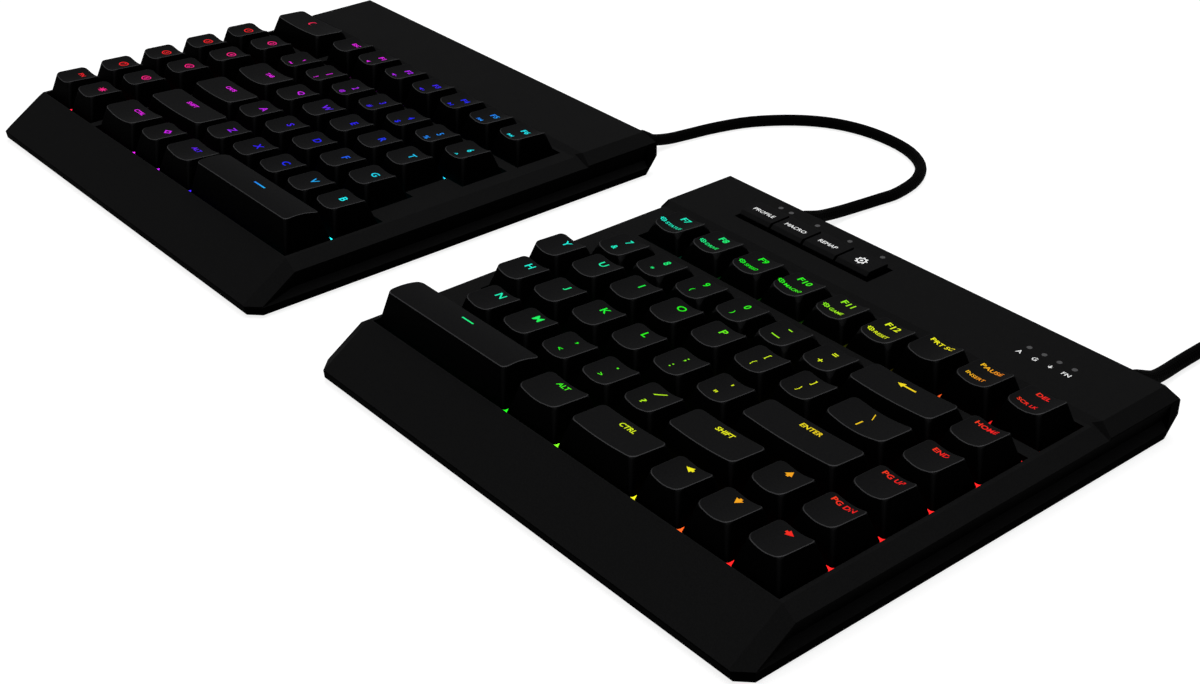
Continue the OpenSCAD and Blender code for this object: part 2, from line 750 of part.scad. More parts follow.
module tube(path, d, sides) {
    rings = len(path);
    points = [for (i = [0:rings - 1]) each ring(path, i, d / 2, sides)];
    walls = [for (i = [0:rings - 2], k = [0:sides - 1])
        let (a = i * sides + k, b = i * sides + (k + 1) % sides)
        each [[a, b, b + sides], [a, b + sides, a + sides]]];
    first = [for (k = [1:sides - 2]) [0, k + 1, k]];
    last_ring = (rings - 1) * sides;
    last = [for (k = [1:sides - 2]) [last_ring, last_ring + k, last_ring + k + 1]];
    polyhedron(points, concat(walls, first, last));
}

// Smooth run through chosen points: each span is split by a cubic that keeps the points
function span(a, b, c, d, s) =
    0.5 * (2 * b + (c - a) * s + (2 * a - 5 * b + 4 * c - d) * s * s + (3 * b - a - 3 * c + d) * s * s * s);
function smooth(p, parts) =
    let (n = len(p))
    concat([for (i = [0:n - 2], k = [0:parts - 1])
        span(p[max(i - 1, 0)], p[i], p[i + 1], p[min(i + 2, n - 1)], k / parts)], [p[n - 1]]);

// Straight starts: the end of a boot and a point half a cord diameter on
left_end = [-module_x + left_boot_x, left_setback - middle_y + rear_y + boot_len, cord_z];
right_end = [module_x + right_boot_x, -middle_y + rear_y + boot_len, cord_z];
usb_end = [module_x + usb_boot_x, -middle_y + rear_y + boot_len, cord_z];
function straight(start, d) = [start, start + [0, d / 2, 0]];
function backward(list) = [for (i = [len(list) - 1:-1:0]) list[i]];
link_path = concat(straight(left_end, link_d), smooth(link_route, 3), backward(straight(right_end, link_d)));
coil_start = [coil_x - coil_r, coil_y, coil_z];
usb_path = concat(straight(usb_end, usb_d), smooth(usb_route, 3), [coil_start - [0, 2 * usb_d, 0],
    coil_start - [0, usb_d, 0]]);

module link_cord() color("#1a1a1c") tube(link_path, link_d, 8);

module usb_cord() color("#1a1a1c") tube(usb_path, usb_d, 8);

// Coil of four layers that spirals in and out, climbing in the half turn between two layers
stage = layer_turns + 0.5;
coil_turns = coil_layers * stage - 0.5;
function coil_layer(t) = min(floor(t / stage), coil_layers - 1);
function coil_radius(t) =
    let (layer = coil_layer(t), run = min(t - layer * stage, layer_turns))
    coil_r - coil_pitch * (layer % 2 == 0 ? run : layer_turns - run);
function coil_height(t) =
    let (layer = coil_layer(t), climb = max(t - layer * stage - layer_turns, 0))
    coil_z + coil_pitch * (layer + 2 * climb);
coil_loops = [for (i = [0:round(coil_turns * loop_rings)])
    let (t = i / loop_rings, a = 180 - 360 * t, r = coil_radius(t))
    [coil_x + r * cos(a), coil_y + r * sin(a), coil_height(t)]];
plug_mid_z = plug_h / 2 + 0.2;
plug_start = [coil_x + coil_r, plug_y, plug_mid_z];
coil_path = concat([coil_start - [0, usb_d, 0]], coil_loops, plug_route, [plug_start + [0, usb_d, 0], plug_start]);
function path_length(p) = len(p) < 2 ? 0 : norms([for (i = [0:len(p) - 2]) norm(p[i + 1] - p[i])]);
function norms(list) = [for (v = list) 1] * list;

module usb_coil() {
    apart = loop_rings / 2;
    last = len(coil_path) - 1;
    nearest = min([for (i = [0:last - apart], j = [i + apart:last]) norm(coil_path[i] - coil_path[j])]);
    echo(least_gap_between_loops = nearest - usb_d);
    echo(usb_length = path_length(usb_path) + path_length(coil_path), link_length = path_length(link_path));
    color("#1a1a1c") tube(coil_path, usb_d, 6);
}

// Tie around the bundle of loops, on the far side of the coil
module coil_tie() color("#2a2a2c") {
    quarter = 0.25 * coil_pitch;
    inner_r = coil_r - coil_pitch * layer_turns + quarter - usb_d / 2 - tie_gap;
    outer_r = coil_r - quarter + usb_d / 2 + tie_gap;
    low = tie_t;
    high = coil_z + (coil_layers - 1) * coil_pitch + usb_d / 2 + tie_gap;
    translate([coil_x, coil_y, 0]) across_tie([[inner_r - tie_t, 0], [outer_r + tie_t, 0],
        [outer_r + tie_t, high + tie_t], [inner_r - tie_t, high + tie_t]],
        [[inner_r, low], [outer_r, low], [outer_r, high], [inner_r, high]]);
}

module across_tie(outside, inside) {
    difference() {
        across(outside, tie_w);
        across(inside, tie_w + 1);
    }
}

// Plug: a tapered boot, a moulded grip and a metal shell
module usb_plug() translate(plug_start) {
    color("#151517") {
        rotate([90, 0, 0]) cylinder(d1 = usb_d + boot_tip, d2 = plug_h - 1, h = plug_boot_len + eps);
        translate([-plug_w / 2, -plug_boot_len - plug_len, -plug_h / 2]) cube([plug_w, plug_len, plug_h]);
    }
    color("#b9bcc0")
        translate([-plug_shell[0] / 2, -plug_boot_len - plug_len - seat_gap - plug_shell[1], -plug_shell[2] / 2])
        difference() {
            cube(plug_shell);
            translate([0.4, -1, 0.4]) cube([plug_shell[0] - 0.8, plug_shell[1] - 2, plug_shell[2] / 2 - 0.4]);
        }
}

left_top_shell();
left_bottom_shell();
left_switch_plate();
left_circuit_board();
left_switch_housings();
left_rubber_feet();
left_case_screws();
right_top_shell();
right_bottom_shell();
right_switch_plate();
right_circuit_board();
right_switch_housings();
right_rubber_feet();
right_case_screws();
button_switches();
indicator_lenses();
panel_button(0);  // profile_button
panel_button(1);  // macro_button
panel_button(2);  // remap_button
panel_button(3);  // settings_button
left_set(wide_top_keys);  // wide_top_key
left_set(escape_keys);  // escape_key
left_set(left_function_row);  // left_function_keys
left_set(macro_block);  // macro_keys
left_set(left_number_row);  // left_number_keys
left_set(tab_keys);  // tab_key
left_set(left_upper_row);  // left_upper_letter_keys
left_set(caps_lock_keys);  // caps_lock_key
left_set(left_home_row);  // left_home_letter_keys
left_set(left_shift_keys);  // left_shift_key
left_set(left_lower_row);  // left_lower_letter_keys
left_set(left_control_keys);  // left_control_key
left_set(system_keys);  // system_key
left_set(left_alt_keys);  // left_alt_key
left_set(left_bars, bar = true);  // left_space_bar
right_set(right_function_row, low_row_drop);  // right_function_keys
right_set(edit_row);  // edit_keys
right_set(right_number_row, low_row_drop);  // right_number_keys
right_set(backspace_keys);  // backspace_key
right_set(navigation_column);  // navigation_keys
right_set(right_upper_row);  // right_upper_letter_keys
right_set(right_home_row);  // right_home_letter_keys
right_set(enter_keys, -wide_rise);  // enter_key
right_set(right_lower_row);  // right_lower_letter_keys
right_set(right_shift_keys, -wide_rise);  // right_shift_key
right_set(right_bars, bar = true);  // right_space_bar
right_set(right_alt_keys);  // right_alt_key
right_set(right_control_keys, -wide_rise);  // right_control_key
right_set(up_keys);  // arrow_up_key
right_set(left_arrow_keys);  // arrow_left_key
right_set(down_keys);  // arrow_down_key
right_set(right_arrow_keys);  // arrow_right_key
left_cord_boot();
right_cord_boot();
usb_cord_boot();
link_cord();
usb_cord();
usb_coil();
coil_tie();
usb_plug();
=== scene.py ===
import math

import bmesh
import bpy
import numpy as np
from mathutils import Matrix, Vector


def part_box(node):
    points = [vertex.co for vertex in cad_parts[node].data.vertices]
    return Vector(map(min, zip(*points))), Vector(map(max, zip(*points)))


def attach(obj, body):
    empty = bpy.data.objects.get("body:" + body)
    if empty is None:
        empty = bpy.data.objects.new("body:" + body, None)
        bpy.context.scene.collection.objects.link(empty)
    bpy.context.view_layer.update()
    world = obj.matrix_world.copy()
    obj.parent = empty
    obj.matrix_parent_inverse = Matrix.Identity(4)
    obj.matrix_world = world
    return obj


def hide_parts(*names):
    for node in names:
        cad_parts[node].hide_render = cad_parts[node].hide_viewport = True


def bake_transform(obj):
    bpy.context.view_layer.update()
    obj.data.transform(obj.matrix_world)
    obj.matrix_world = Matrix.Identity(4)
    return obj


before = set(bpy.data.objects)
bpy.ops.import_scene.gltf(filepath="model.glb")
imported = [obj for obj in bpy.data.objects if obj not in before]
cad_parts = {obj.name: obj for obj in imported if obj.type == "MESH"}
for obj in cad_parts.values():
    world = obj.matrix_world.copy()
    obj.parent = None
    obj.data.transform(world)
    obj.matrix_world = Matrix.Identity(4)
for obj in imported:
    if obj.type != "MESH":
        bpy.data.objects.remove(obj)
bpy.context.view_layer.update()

# Camera: the photograph looks down from the front right corner, close enough that the near module fills
# half of the picture. The lens axis is a little right of the picture's middle, so the camera is shifted.
view_turn = math.radians(49.66)
view_height = math.radians(30.58)
back = Vector((math.sin(view_turn) * math.cos(view_height), -math.cos(view_turn) * math.cos(view_height),
               math.sin(view_height)))
camera_data = bpy.data.cameras.new("camera")
camera_data.sensor_fit = "HORIZONTAL"
camera_data.sensor_width = 36
camera_data.lens = 55.15
camera_data.shift_x = -0.0279
camera_data.clip_start = 0.01
camera_data.clip_end = 40


def add_object(name, data):
    """Object at the origin, in the scene."""
    made = bpy.data.objects.new(name, data)
    bpy.context.scene.collection.objects.link(made)
    return made


camera = add_object("camera", camera_data)
camera.location = (0.46098, -0.33195, 0.3032)
camera.rotation_euler = (-back).to_track_quat("-Z", "Y").to_euler()
bpy.context.scene.camera = camera

# Link cord: a round jacketed cord, woven over, that joins the two modules behind the keys.
# It leaves each rear wall through a boot, drops to the desk and lies in one loose bow.
millimetre = 0.001
link_width = 0.0045
left_exit = np.array([-0.0371875, 0.09325, 0.0086])
right_exit = np.array([0.0536875, 0.09175, 0.0086])
link_points = millimetre * np.array([
    [-37.2, 98, 7], [-37.2, 101.5, 5], [-37.6, 109.6, 3], [-37, 118, 2.4], [-34.6, 132, 2.3],
    [-29.5, 147, 2.3], [-19.2, 161.6, 2.3], [-6.3, 171.4, 2.3], [9.9, 176, 2.3], [28.4, 175, 2.3],
    [42.3, 168.2, 2.3], [50.3, 157, 2.3], [53.3, 143.4, 2.3], [52.6, 134.5, 2.3], [51.6, 125, 2.4],
    [51.3, 115, 3.1], [52.2, 104.5, 5], [53.3, 98.5, 7]])


def smooth_run(points, parts):
    """Run through the points: between two of them a cubic whose slope at each is half the step over it."""
    before = np.vstack([points[:1], points[:-2]])
    after = np.vstack([points[2:], points[-1:]])
    a, b, c, d = (p[:, None, :] for p in (before, points[:-1], points[1:], after))
    s = (np.arange(parts) / parts)[None, :, None]
    run = 0.5 * (2 * b + (c - a) * s + (2 * a - 5 * b + 4 * c - d) * s**2 + (3 * b - a - 3 * c + d) * s**3)
    return np.vstack([run.reshape(-1, 3), points[-1:]])


def cord_rings(path, width, sides):
    """Circle of half the width at each point, square to the step from the point before to the one after."""
    ahead = np.vstack([path[1:], path[-1:]]) - np.vstack([path[:1], path[:-1]])
    ahead /= np.linalg.norm(ahead, axis=1)[:, None]
    side = np.cross(ahead, [0, 0, 1.0])
    side /= np.linalg.norm(side, axis=1)[:, None]
    up = np.cross(side, ahead)
    turn = np.linspace(0, 2 * np.pi, sides, endpoint=False)
    ring = np.cos(turn)[None, :, None] * side[:, None, :] + np.sin(turn)[None, :, None] * up[:, None, :]
    return path[:, None, :] + 0.5 * width * ring


def skin(rings, first_pole=None, last_pole=None):
    """Closed rings joined to a skin: a quad from each step to the next ring, and a fan to each pole given."""
    count, sides = rings.shape[:2]
    k = np.arange(sides)
    step = (k + 1) % sides
    start = (np.arange(count - 1) * sides)[:, None]
    quads = np.stack([start + k, start + step, start + sides + step, start + sides + k], -1)
    points = rings.reshape(-1, 3)
    faces = quads.reshape(-1, 4).tolist()
    end = (count - 1) * sides
    for pole, fan in ((first_pole, (step, k)), (last_pole, (end + k, end + step))):
        if pole is not None:
            points = np.vstack([points, [pole]])
            faces += np.stack([*fan, np.full(sides, len(points) - 1)], -1).tolist()
    return points, faces


def make_piece(name, points, faces, material, smooth=True):
    """Mesh object at the origin, with its place in its points and all its faces pointing outwards."""
    mesh = bpy.data.meshes.new(name)
    mesh.from_pydata(np.asarray(points).tolist(), [], faces)
    mesh.polygons.foreach_set("use_smooth", np.full(len(mesh.polygons), smooth))
    mesh.materials.append(material)
    mesh.validate()
    return add_object(name, mesh)


def lay_cord_map(piece, rings, path):
    """UV of a cord: once round it is 1 across, and the way along it is in metres."""
    count, sides = rings.shape[:2]
    along = np.r_[0, np.cumsum(np.linalg.norm(np.diff(path, axis=0), axis=1))]
    k = np.arange(sides)
    low, high = along[:-1, None], along[1:, None]
    u = np.broadcast_to(np.stack([k, k + 1, k + 1, k], -1) / sides, (count - 1, sides, 4))
    v = np.stack([np.broadcast_to(w, (count - 1, sides)) for w in (low, low, high, high)], -1)
    flat = np.zeros((len(piece.data.loops), 2), np.float32)
    flat[:u.size] = np.stack([u, v], -1).reshape(-1, 2)
    piece.data.uv_layers.new(name="cord_map").data.foreach_set("uv", flat.ravel())


def new_material(name, colour, roughness, specular):
    """Principled material with its plain values set on the shader's own sockets."""
    material = bpy.data.materials.new(name)
    material.use_nodes = True
    shader = material.node_tree.nodes["Principled BSDF"]
    shader.inputs["Base Color"].default_value = (*colour, 1)
    shader.inputs["Roughness"].default_value = roughness
    shader.inputs["Specular IOR Level"].default_value = specular
    return material, shader


def add_node(tree, kind, sockets=(), **settings):
    """Shader node with its settings by name, and for each socket a value or the output that feeds it."""
    node = tree.nodes.new("ShaderNode" + kind)
    for name, value in settings.items():
        setattr(node, name, value)
    for name, value in dict(sockets).items():
        if isinstance(value, bpy.types.NodeSocket):
            tree.links.new(value, node.inputs[name])
        else:
            node.inputs[name].default_value = value
    return node


def maths(tree, operation, *terms):
    """Sum, product or the like of its terms, each a value or an output."""
    return add_node(tree, "Math", dict(enumerate(terms)), operation=operation).outputs[0]


def ramp(tree, value, start, end, low, high, **settings):
    """Goes from low to high while the value goes from start to end, and stays there past them."""
    sockets = {"Value": value, "From Min": start, "From Max": end, "To Min": low, "To Max": high}
    return add_node(tree, "MapRange", sockets, **settings).outputs["Result"]


def scaled(tree, colour, share):
    """A colour times a number."""
    return add_node(tree, "VectorMath", {0: colour, "Scale": share}, operation="SCALE").outputs[0]


def emboss(tree, shader, height, strength, distance):
    """Relief on a shader's surface from the output that gives its height."""
    bump = add_node(tree, "Bump", {"Height": height, "Strength": strength, "Distance": distance})
    tree.links.new(bump.outputs["Normal"], shader.inputs["Normal"])


def woven_jacket(name, colour, strands, lay):
    """Cord jacket: two sets of strands cross, one climbing each way, and stand up where they pass over."""
    material, shader = new_material(name, colour, 0.62, 0.004)
    tree = material.node_tree
    place = add_node(tree, "UVMap", uv_map="cord_map")
    split = add_node(tree, "SeparateXYZ", {0: place.outputs["UV"]})
    waves = []
    for sign in (1, -1):
        climb = maths(tree, "MULTIPLY", split.outputs["Y"], sign * 2 * math.pi * lay)
        strand = maths(tree, "MULTIPLY_ADD", split.outputs["X"], 2 * math.pi * strands, climb)
        waves.append(maths(tree, "SINE", strand))
    weave = maths(tree, "MULTIPLY", *waves)
    tint = scaled(tree, colour, ramp(tree, weave, -1, 1, 0.45, 1.5))
    tree.links.new(tint, shader.inputs["Base Color"])
    emboss(tree, shader, weave, 0.5, 0.0003)
    return material


jacket = woven_jacket("cord_jacket", (0.0008,) * 3, 8, 420)
straight = np.array([0, 0.5 * link_width, 0])
link_run = smooth_run(link_points, 4)
link_path = np.vstack([left_exit, left_exit + straight, link_run, right_exit + straight, right_exit])
link_rings = cord_rings(link_path, link_width, 16)
link_cord = make_piece("link_cord_jacket", *skin(link_rings, link_path[0], link_path[-1]), jacket)
lay_cord_map(link_cord, link_rings, link_path)
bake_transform(link_cord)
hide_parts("link_cord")

# Cord boots: tapered rubber sleeves moulded on the cords, with grooves that let them bend. Each has a neck
# through the rear wall and a collar inside that keeps it from pulling out.
rear_wall_left = 0.08925
rear_wall_right = 0.08775
usb_x = 0.1961875
boot_profile = millimetre * np.array([
    [-5.6, 3.6], [-5.4, 4], [-4.6, 4], [-4.4, 3.8], [-4.4, 2.4], [-4.2, 2.3], [-0.1, 2.3], [0, 2.4], [0, 2.7],
    [0.15, 2.8], [1.05, 2.64], [1.2, 2.5], [1.25, 2.2], [1.7, 2.16], [1.75, 2.4], [1.9, 2.48], [2.4, 2.38],
    [2.55, 2.26], [2.6, 2.04], [3.05, 2.02], [3.1, 2.18], [3.2, 2.24], [3.75, 2.14], [3.93, 2.05], [4, 1.9]])


def turned(profile, centre, widen, sides):
    """Profile of steps along Y and radii, turned about the centre's Y line and widened towards its tip."""
    turn = np.linspace(0, 2 * np.pi, sides, endpoint=False)
    radius = profile[:, 1:] + widen * np.clip(profile[:, :1] / profile[-1, 0], 0, 1)
    along = np.broadcast_to(profile[:, :1], (len(profile), sides))
    return np.asarray(centre) + np.stack([radius * np.sin(turn), along, radius * np.cos(turn)], -1)


def capped(rings, both=True):
    """Skin closed on the middle of its last ring, and of its first too unless that end is left open."""
    return skin(rings, rings[0].mean(0) if both else None, rings[-1].mean(0))


def new_group(name, inputs, outputs):
    """Node group with the sockets named, and with them what its nodes read and fill."""
    group = bpy.data.node_groups.new(name, "ShaderNodeTree")
    for in_out, sockets in (("INPUT", inputs), ("OUTPUT", outputs)):
        for label, kind in sockets.items():
            group.interface.new_socket(label, in_out=in_out, socket_type="NodeSocket" + kind)
    given = group.nodes.new("NodeGroupInput").outputs
    made = group.nodes.new("NodeGroupOutput").inputs
    return group, given, made


def grain_and_painted_shade_group():
    """Moulded grain: fine grain for bump and tone, slow patches that shift the gloss, and two colours.

    The second colour is painted light on faces that look up, and the first is a painted shade on upright
    faces: the painted light comes in smoothly where the upward part of the normal is a little under one half.
    """
    group, given, made = new_group(
        "grain_and_painted_shade",
        {"Grain Scale": "Float", "Gloss Low": "Float", "Gloss High": "Float", "Painted Shade Colour": "Vector",
         "Painted Lit Colour": "Vector"},
        {"Tint": "Vector", "Roughness": "Float", "Height": "Float"})
    place = add_node(group, "TexCoord").outputs
    spot = place["Object"]
    fine = add_node(group, "TexNoise", {"Vector": spot, "Scale": given["Grain Scale"], "Detail": 3})
    slow = add_node(group, "TexNoise", {"Vector": spot, "Scale": 55, "Detail": 4})
    gloss = ramp(group, slow.outputs["Fac"], 0.3, 0.7, given["Gloss Low"], given["Gloss High"])
    tone = ramp(group, fine.outputs["Fac"], 0.3, 0.7, 0.86, 1.14)
    facing = add_node(group, "SeparateXYZ", {0: place["Normal"]})
    # Painted light and shade: faces that look up take the lit colour, upright faces the darker painted shade
    # colour.
    painted_top_light = ramp(group, facing.outputs["Z"], 0.37, 0.43, 0, 1, interpolation_type="SMOOTHSTEP")
    colour = add_node(group, "Mix", {
        "Factor": painted_top_light, "A": given["Painted Shade Colour"], "B": given["Painted Lit Colour"]}, data_type="VECTOR")
    group.links.new(scaled(group, colour.outputs["Result"], tone), made["Tint"])
    group.links.new(gloss, made["Roughness"])
    group.links.new(fine.outputs["Fac"], made["Height"])
    return group


grain_and_painted_shade = grain_and_painted_shade_group()


def moulding(name, colour, gloss, specular, grain, depth, painted_upright_tone=None):
    """Moulded plastic or rubber: a tone broken by grain, a painted shade on upright faces, and a gloss
    between two values.
    """
    material, shader = new_material(name, colour, sum(gloss) / 2, specular)
    tree = material.node_tree
    surface = add_node(tree, "Group", {
        "Grain Scale": grain, "Gloss Low": gloss[0], "Gloss High": gloss[1], "Painted Lit Colour": colour,
        "Painted Shade Colour": painted_upright_tone or colour}, node_tree=grain_and_painted_shade, name="grain_and_painted_shade")
    tree.links.new(surface.outputs["Tint"], shader.inputs["Base Color"])
    tree.links.new(surface.outputs["Roughness"], shader.inputs["Roughness"])
    emboss(tree, shader, surface.outputs["Height"], 0.35, depth)
    return material


# Painted shade: the boots' upright faces take a darker colour than the faces that look up.
boot_rubber = moulding("boot_rubber", (0.0014, 0.0014, 0.0015), (0.5, 0.62), 0.004, 2600, 0.00005,
                       (0.0007,) * 3)
boots = {}
for node, x, y, widen, body in (
        ("left_cord_boot", left_exit[0], rear_wall_left, 0.00045, "left_module"),
        ("right_cord_boot", right_exit[0], rear_wall_right, 0.00045, "right_module"),
        ("usb_cord_boot", usb_x, rear_wall_right, 0.0007, "right_module")):
    rings = turned(boot_profile, (x, y, left_exit[2]), widen, 24)
    boots[node] = make_piece(node + "_sleeve", *capped(rings), boot_rubber)
    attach(boots[node], body)
    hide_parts(node)

# USB cord: the same woven jacket, a little thicker, from the right module's rear wall. It leaves the picture
# at once, and the rest is wound in four layers and tied, with the plug on the desk beside the coil.
usb_width = 0.0048
usb_exit = np.array([usb_x, 0.09175, 0.0086])
usb_points = millimetre * np.array([
    [196.1, 97.5, 7], [195.8, 104.5, 4], [195, 112, 2.8], [194.4, 119.3, 2.5], [194.2, 126.5, 2.5],
    [194.1, 136, 2.5], [194.3, 147, 2.7], [194.8, 156.5, 3.2], [195, 163.6, 3.4]])
coil_radius = 0.029
coil_pitch = 0.0052
coil_middle = np.array([0.195 + coil_radius, 0.172, 0.0034])
last_layer = 3
layer_turns = 2.5
stage_turns = 3.0
turn_steps = 24
coil_steps = int(turn_steps * (last_layer * stage_turns + layer_turns))
plug_start = np.array([0.253, 0.122, 0.0044])
plug_points = millimetre * np.array([
    [253, 160, 16.5], [253, 148, 11], [253, 138, 6.5], [253, 131, 4.6], [253, 126.2, 4.4]])


def coil_path():
    """Clockwise turns that wind in and out by one pitch a turn, with half turns that climb a layer."""
    turns = np.arange(coil_steps + 1) / turn_steps
    layer = np.minimum(np.floor(turns / stage_turns), last_layer)
    run = np.minimum(turns - layer * stage_turns, layer_turns)
    inward = np.where(layer % 2 == 0, run, layer_turns - run)
    climb = np.maximum(turns - layer * stage_turns - layer_turns, 0)
    angle = np.pi - 2 * np.pi * turns
    radius = coil_radius - coil_pitch * inward
    height = coil_pitch * (layer + 2 * climb)
    return coil_middle + np.stack([radius * np.cos(angle), radius * np.sin(angle), height], -1)


coil = coil_path()
tail = smooth_run(np.vstack([coil[-1:], plug_points, [plug_start]]), 3)
usb_run = smooth_run(usb_points, 3)
usb_path = np.vstack([usb_exit, usb_exit + [0, 0.5 * usb_width, 0], usb_run, coil, tail[1:]])
usb_rings = cord_rings(usb_path, usb_width, 14)
usb_cord = make_piece("usb_cord_jacket", *skin(usb_rings, usb_path[0], usb_path[-1]), jacket)
lay_cord_map(usb_cord, usb_rings, usb_path)
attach(usb_cord, "right_module")
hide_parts("usb_cord", "usb_coil")

# Coil tie: a strip of hook and loop tape, woven nylon with a short nap, wrapped once round the turns. It is
# made as a thin section carried round a rounded rectangle.
tie_width = 0.005
tie_thick = 0.0008
tie_low, tie_high = (np.array(corner)[1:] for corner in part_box("coil_tie"))


def rounded_outline(half_x, half_z, corner, steps):
    """Rounded rectangle about the origin: a quarter circle of the corner's radius in each corner."""
    turn = np.arange(4)[:, None] * np.pi / 2 + np.linspace(0, np.pi / 2, steps)
    signs = np.array([[1, 1], [-1, 1], [-1, -1], [1, -1]])[:, None, :]
    arc = corner * np.stack([np.cos(turn), np.sin(turn)], -1)
    return (signs * [half_x - corner, half_z - corner] + arc).reshape(-1, 2)


def strap_rings(low, high, corner, steps):
    """Rounded rectangle in Y and Z as a middle line, and at each point of it the section of a thin strip."""
    half = (high - low) / 2 - 0.5 * tie_thick
    line = rounded_outline(*half, corner, steps) + (high + low) / 2
    outward = rounded_outline(1, 1, 1, steps)
    section = np.array([[-0.5, -0.25], [-0.42, -0.5], [0.42, -0.5], [0.5, -0.25], [0.5, 0.25], [0.42, 0.5],
                        [-0.42, 0.5], [-0.5, 0.25]])
    x = coil_middle[0] + section[:, 0] * tie_width
    out = line[:, None, :] + section[None, :, 1:] * tie_thick * outward[:, None, :]
    return np.concatenate([np.broadcast_to(x[None, :, None], (len(line), len(section), 1)), out], -1)


def nylon_nap():
    """Hook and loop tape: close loops as small cells that break the tone and stand up a little."""
    material, shader = new_material("nylon_tape", (0.018, 0.018, 0.02), 0.9, 0.1)
    tree = material.node_tree
    place = add_node(tree, "TexCoord")
    loops = add_node(tree, "TexVoronoi", {"Vector": place.outputs["Object"], "Scale": 1900})
    tone = add_node(tree, "ValToRGB", {"Fac": loops.outputs["Distance"]})
    tone.color_ramp.elements[0].color = (0.03, 0.03, 0.033, 1)
    tone.color_ramp.elements[1].color = (0.008, 0.008, 0.009, 1)
    tree.links.new(tone.outputs["Color"], shader.inputs["Base Color"])
    emboss(tree, shader, loops.outputs["Distance"], 0.6, 0.0002)
    return material


strap = strap_rings(tie_low, tie_high, 0.003, 8)
coil_tie = make_piece("coil_tie_strap", *skin(np.concatenate([strap, strap[:1]])), nylon_nap())
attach(coil_tie, "right_module")
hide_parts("coil_tie")

# USB plug: a moulded grip with rounded edges and a grooved round neck, over a folded steel shell. The shell
# is a square tube, half filled by the tongue that carries the contacts. Their stations are in millimetres.
at_grip = plug_start - [0, 0.032, 0]
tongue_rise = 0.0009
grip = [
    (0, 7.2, 3.4, 1.2), (0.3, 7.7, 3.9, 1.6), (0.9, 8, 4.2, 1.9), (6, 8, 4.2, 1.9), (6.4, 7.9, 3.9, 1.8),
    (8, 7.9, 3.9, 1.8), (8.4, 8, 4.2, 1.9), (22.8, 8, 4.2, 2), (23.6, 7.4, 3.9, 2), (24, 6, 3.6, 2.2),
    (24.6, 3.8, 3.6, 3.4)]
neck = [(along, radius, radius, radius - 0.01) for along, radius in (
    (25.6, 3.5), (25.8, 2.9), (26.6, 2.9), (26.8, 3.3), (28.4, 3), (28.6, 2.6), (29.4, 2.5), (29.6, 2.9),
    (31.8, 2.7), (32, 2.5))]
shell = [
    (-0.05, 6, 2.25, 0.6), (-11.4, 6, 2.25, 0.6), (-11.8, 5.9, 2.15, 0.5), (-11.8, 5.7, 1.95, 0.4),
    (-11.6, 5.6, 1.85, 0.4), (-1.2, 5.6, 1.85, 0.4)]
tongue = [(-1, 5.3, 0.8, 0.3), (-10.6, 5.3, 0.8, 0.3), (-10.9, 5, 0.6, 0.3)]


def sections_along(stations, steps):
    """Rounded rectangles carried along Y: each station is a depth, half width, half height and corner."""
    rings = []
    for depth, half_x, half_z, corner in stations:
        outline = rounded_outline(half_x, half_z, corner, steps)
        rings.append(np.insert(outline, 1, depth, axis=1))
    return np.array(rings)


grip_rings = millimetre * sections_along(grip + neck, 7) + at_grip
plug_grip = make_piece("usb_plug_grip", *capped(grip_rings),
                       moulding("plug_plastic", (0.006, 0.006, 0.0065), (0.42, 0.55), 0.25, 2200, 0.00005))
steel, steel_shader = new_material("plug_steel", (0.62, 0.63, 0.65), 0.28, 0.5)
steel_shader.inputs["Metallic"].default_value = 1
brush_place = add_node(steel.node_tree, "TexCoord")
brush = add_node(steel.node_tree, "TexNoise", {"Vector": brush_place.outputs["Object"], "Scale": 900})
brush_gloss = ramp(steel.node_tree, brush.outputs["Fac"], 0, 1, 0.2, 0.42)
steel.node_tree.links.new(brush_gloss, steel_shader.inputs["Roughness"])
shell_rings = millimetre * sections_along(shell, 5) + at_grip
plug_shell = make_piece("usb_plug_shell", *capped(shell_rings, False), steel)
tongue_rings = millimetre * sections_along(tongue, 4) + at_grip + [0, 0, tongue_rise]
plug_tongue = make_piece("usb_plug_tongue", *capped(tongue_rings, False),
                         moulding("plug_tongue", (0.02, 0.02, 0.022), (0.45, 0.6), 0.3, 2200, 0.00004))
for piece in (plug_grip, plug_shell, plug_tongue):
    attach(piece, "right_module")
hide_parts("usb_plug")

# Case shells: each module has a top shell and a bottom tray moulded in black plastic with a fine matt grain.
# They meet on a line low on the sides, and four screws from below hold them together.
# Painted shade: upright faces of the case and trays take a far darker colour than the faces that look up.
painted_side_shade = (0.0005,) * 3
case_plastic = moulding("case_plastic", (0.0058, 0.0058, 0.0059), (0.44, 0.54), 0.001, 2400, 0.00006,
                        painted_side_shade)
base_plastic = moulding("base_plastic", (0.0046, 0.0046, 0.0047), (0.5, 0.62), 0.001, 2000, 0.00008,
                        painted_side_shade)


def edged_copy(node, body, material, width):
    """Copy of a solid's mesh with its doubles merged, flat faces joined and its sharp edges softened."""
    work = bmesh.new()
    work.from_mesh(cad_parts[node].data)
    bmesh.ops.remove_doubles(work, verts=work.verts, dist=0.000002)
    bmesh.ops.dissolve_limit(work, angle_limit=math.radians(0.4), verts=work.verts, edges=work.edges)
    mesh = bpy.data.meshes.new(node + "_moulding")
    work.to_mesh(mesh)
    work.free()
    mesh.polygons.foreach_set("use_smooth", np.full(len(mesh.polygons), False))
    mesh.materials.clear()
    mesh.materials.append(material)
    piece = add_object(node + "_moulding", mesh)
    soften = piece.modifiers.new("soft_edges", "BEVEL")
    soften.width = width
    soften.segments = 2
    soften.limit_method = "ANGLE"
    soften.angle_limit = math.radians(25)
    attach(piece, body)
    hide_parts(node)


for side in ("left", "right"):
    edged_copy(side + "_bottom_shell", side + "_module", base_plastic, 0.00025)
    edged_copy(side + "_top_shell", side + "_module", case_plastic, 0.00035)

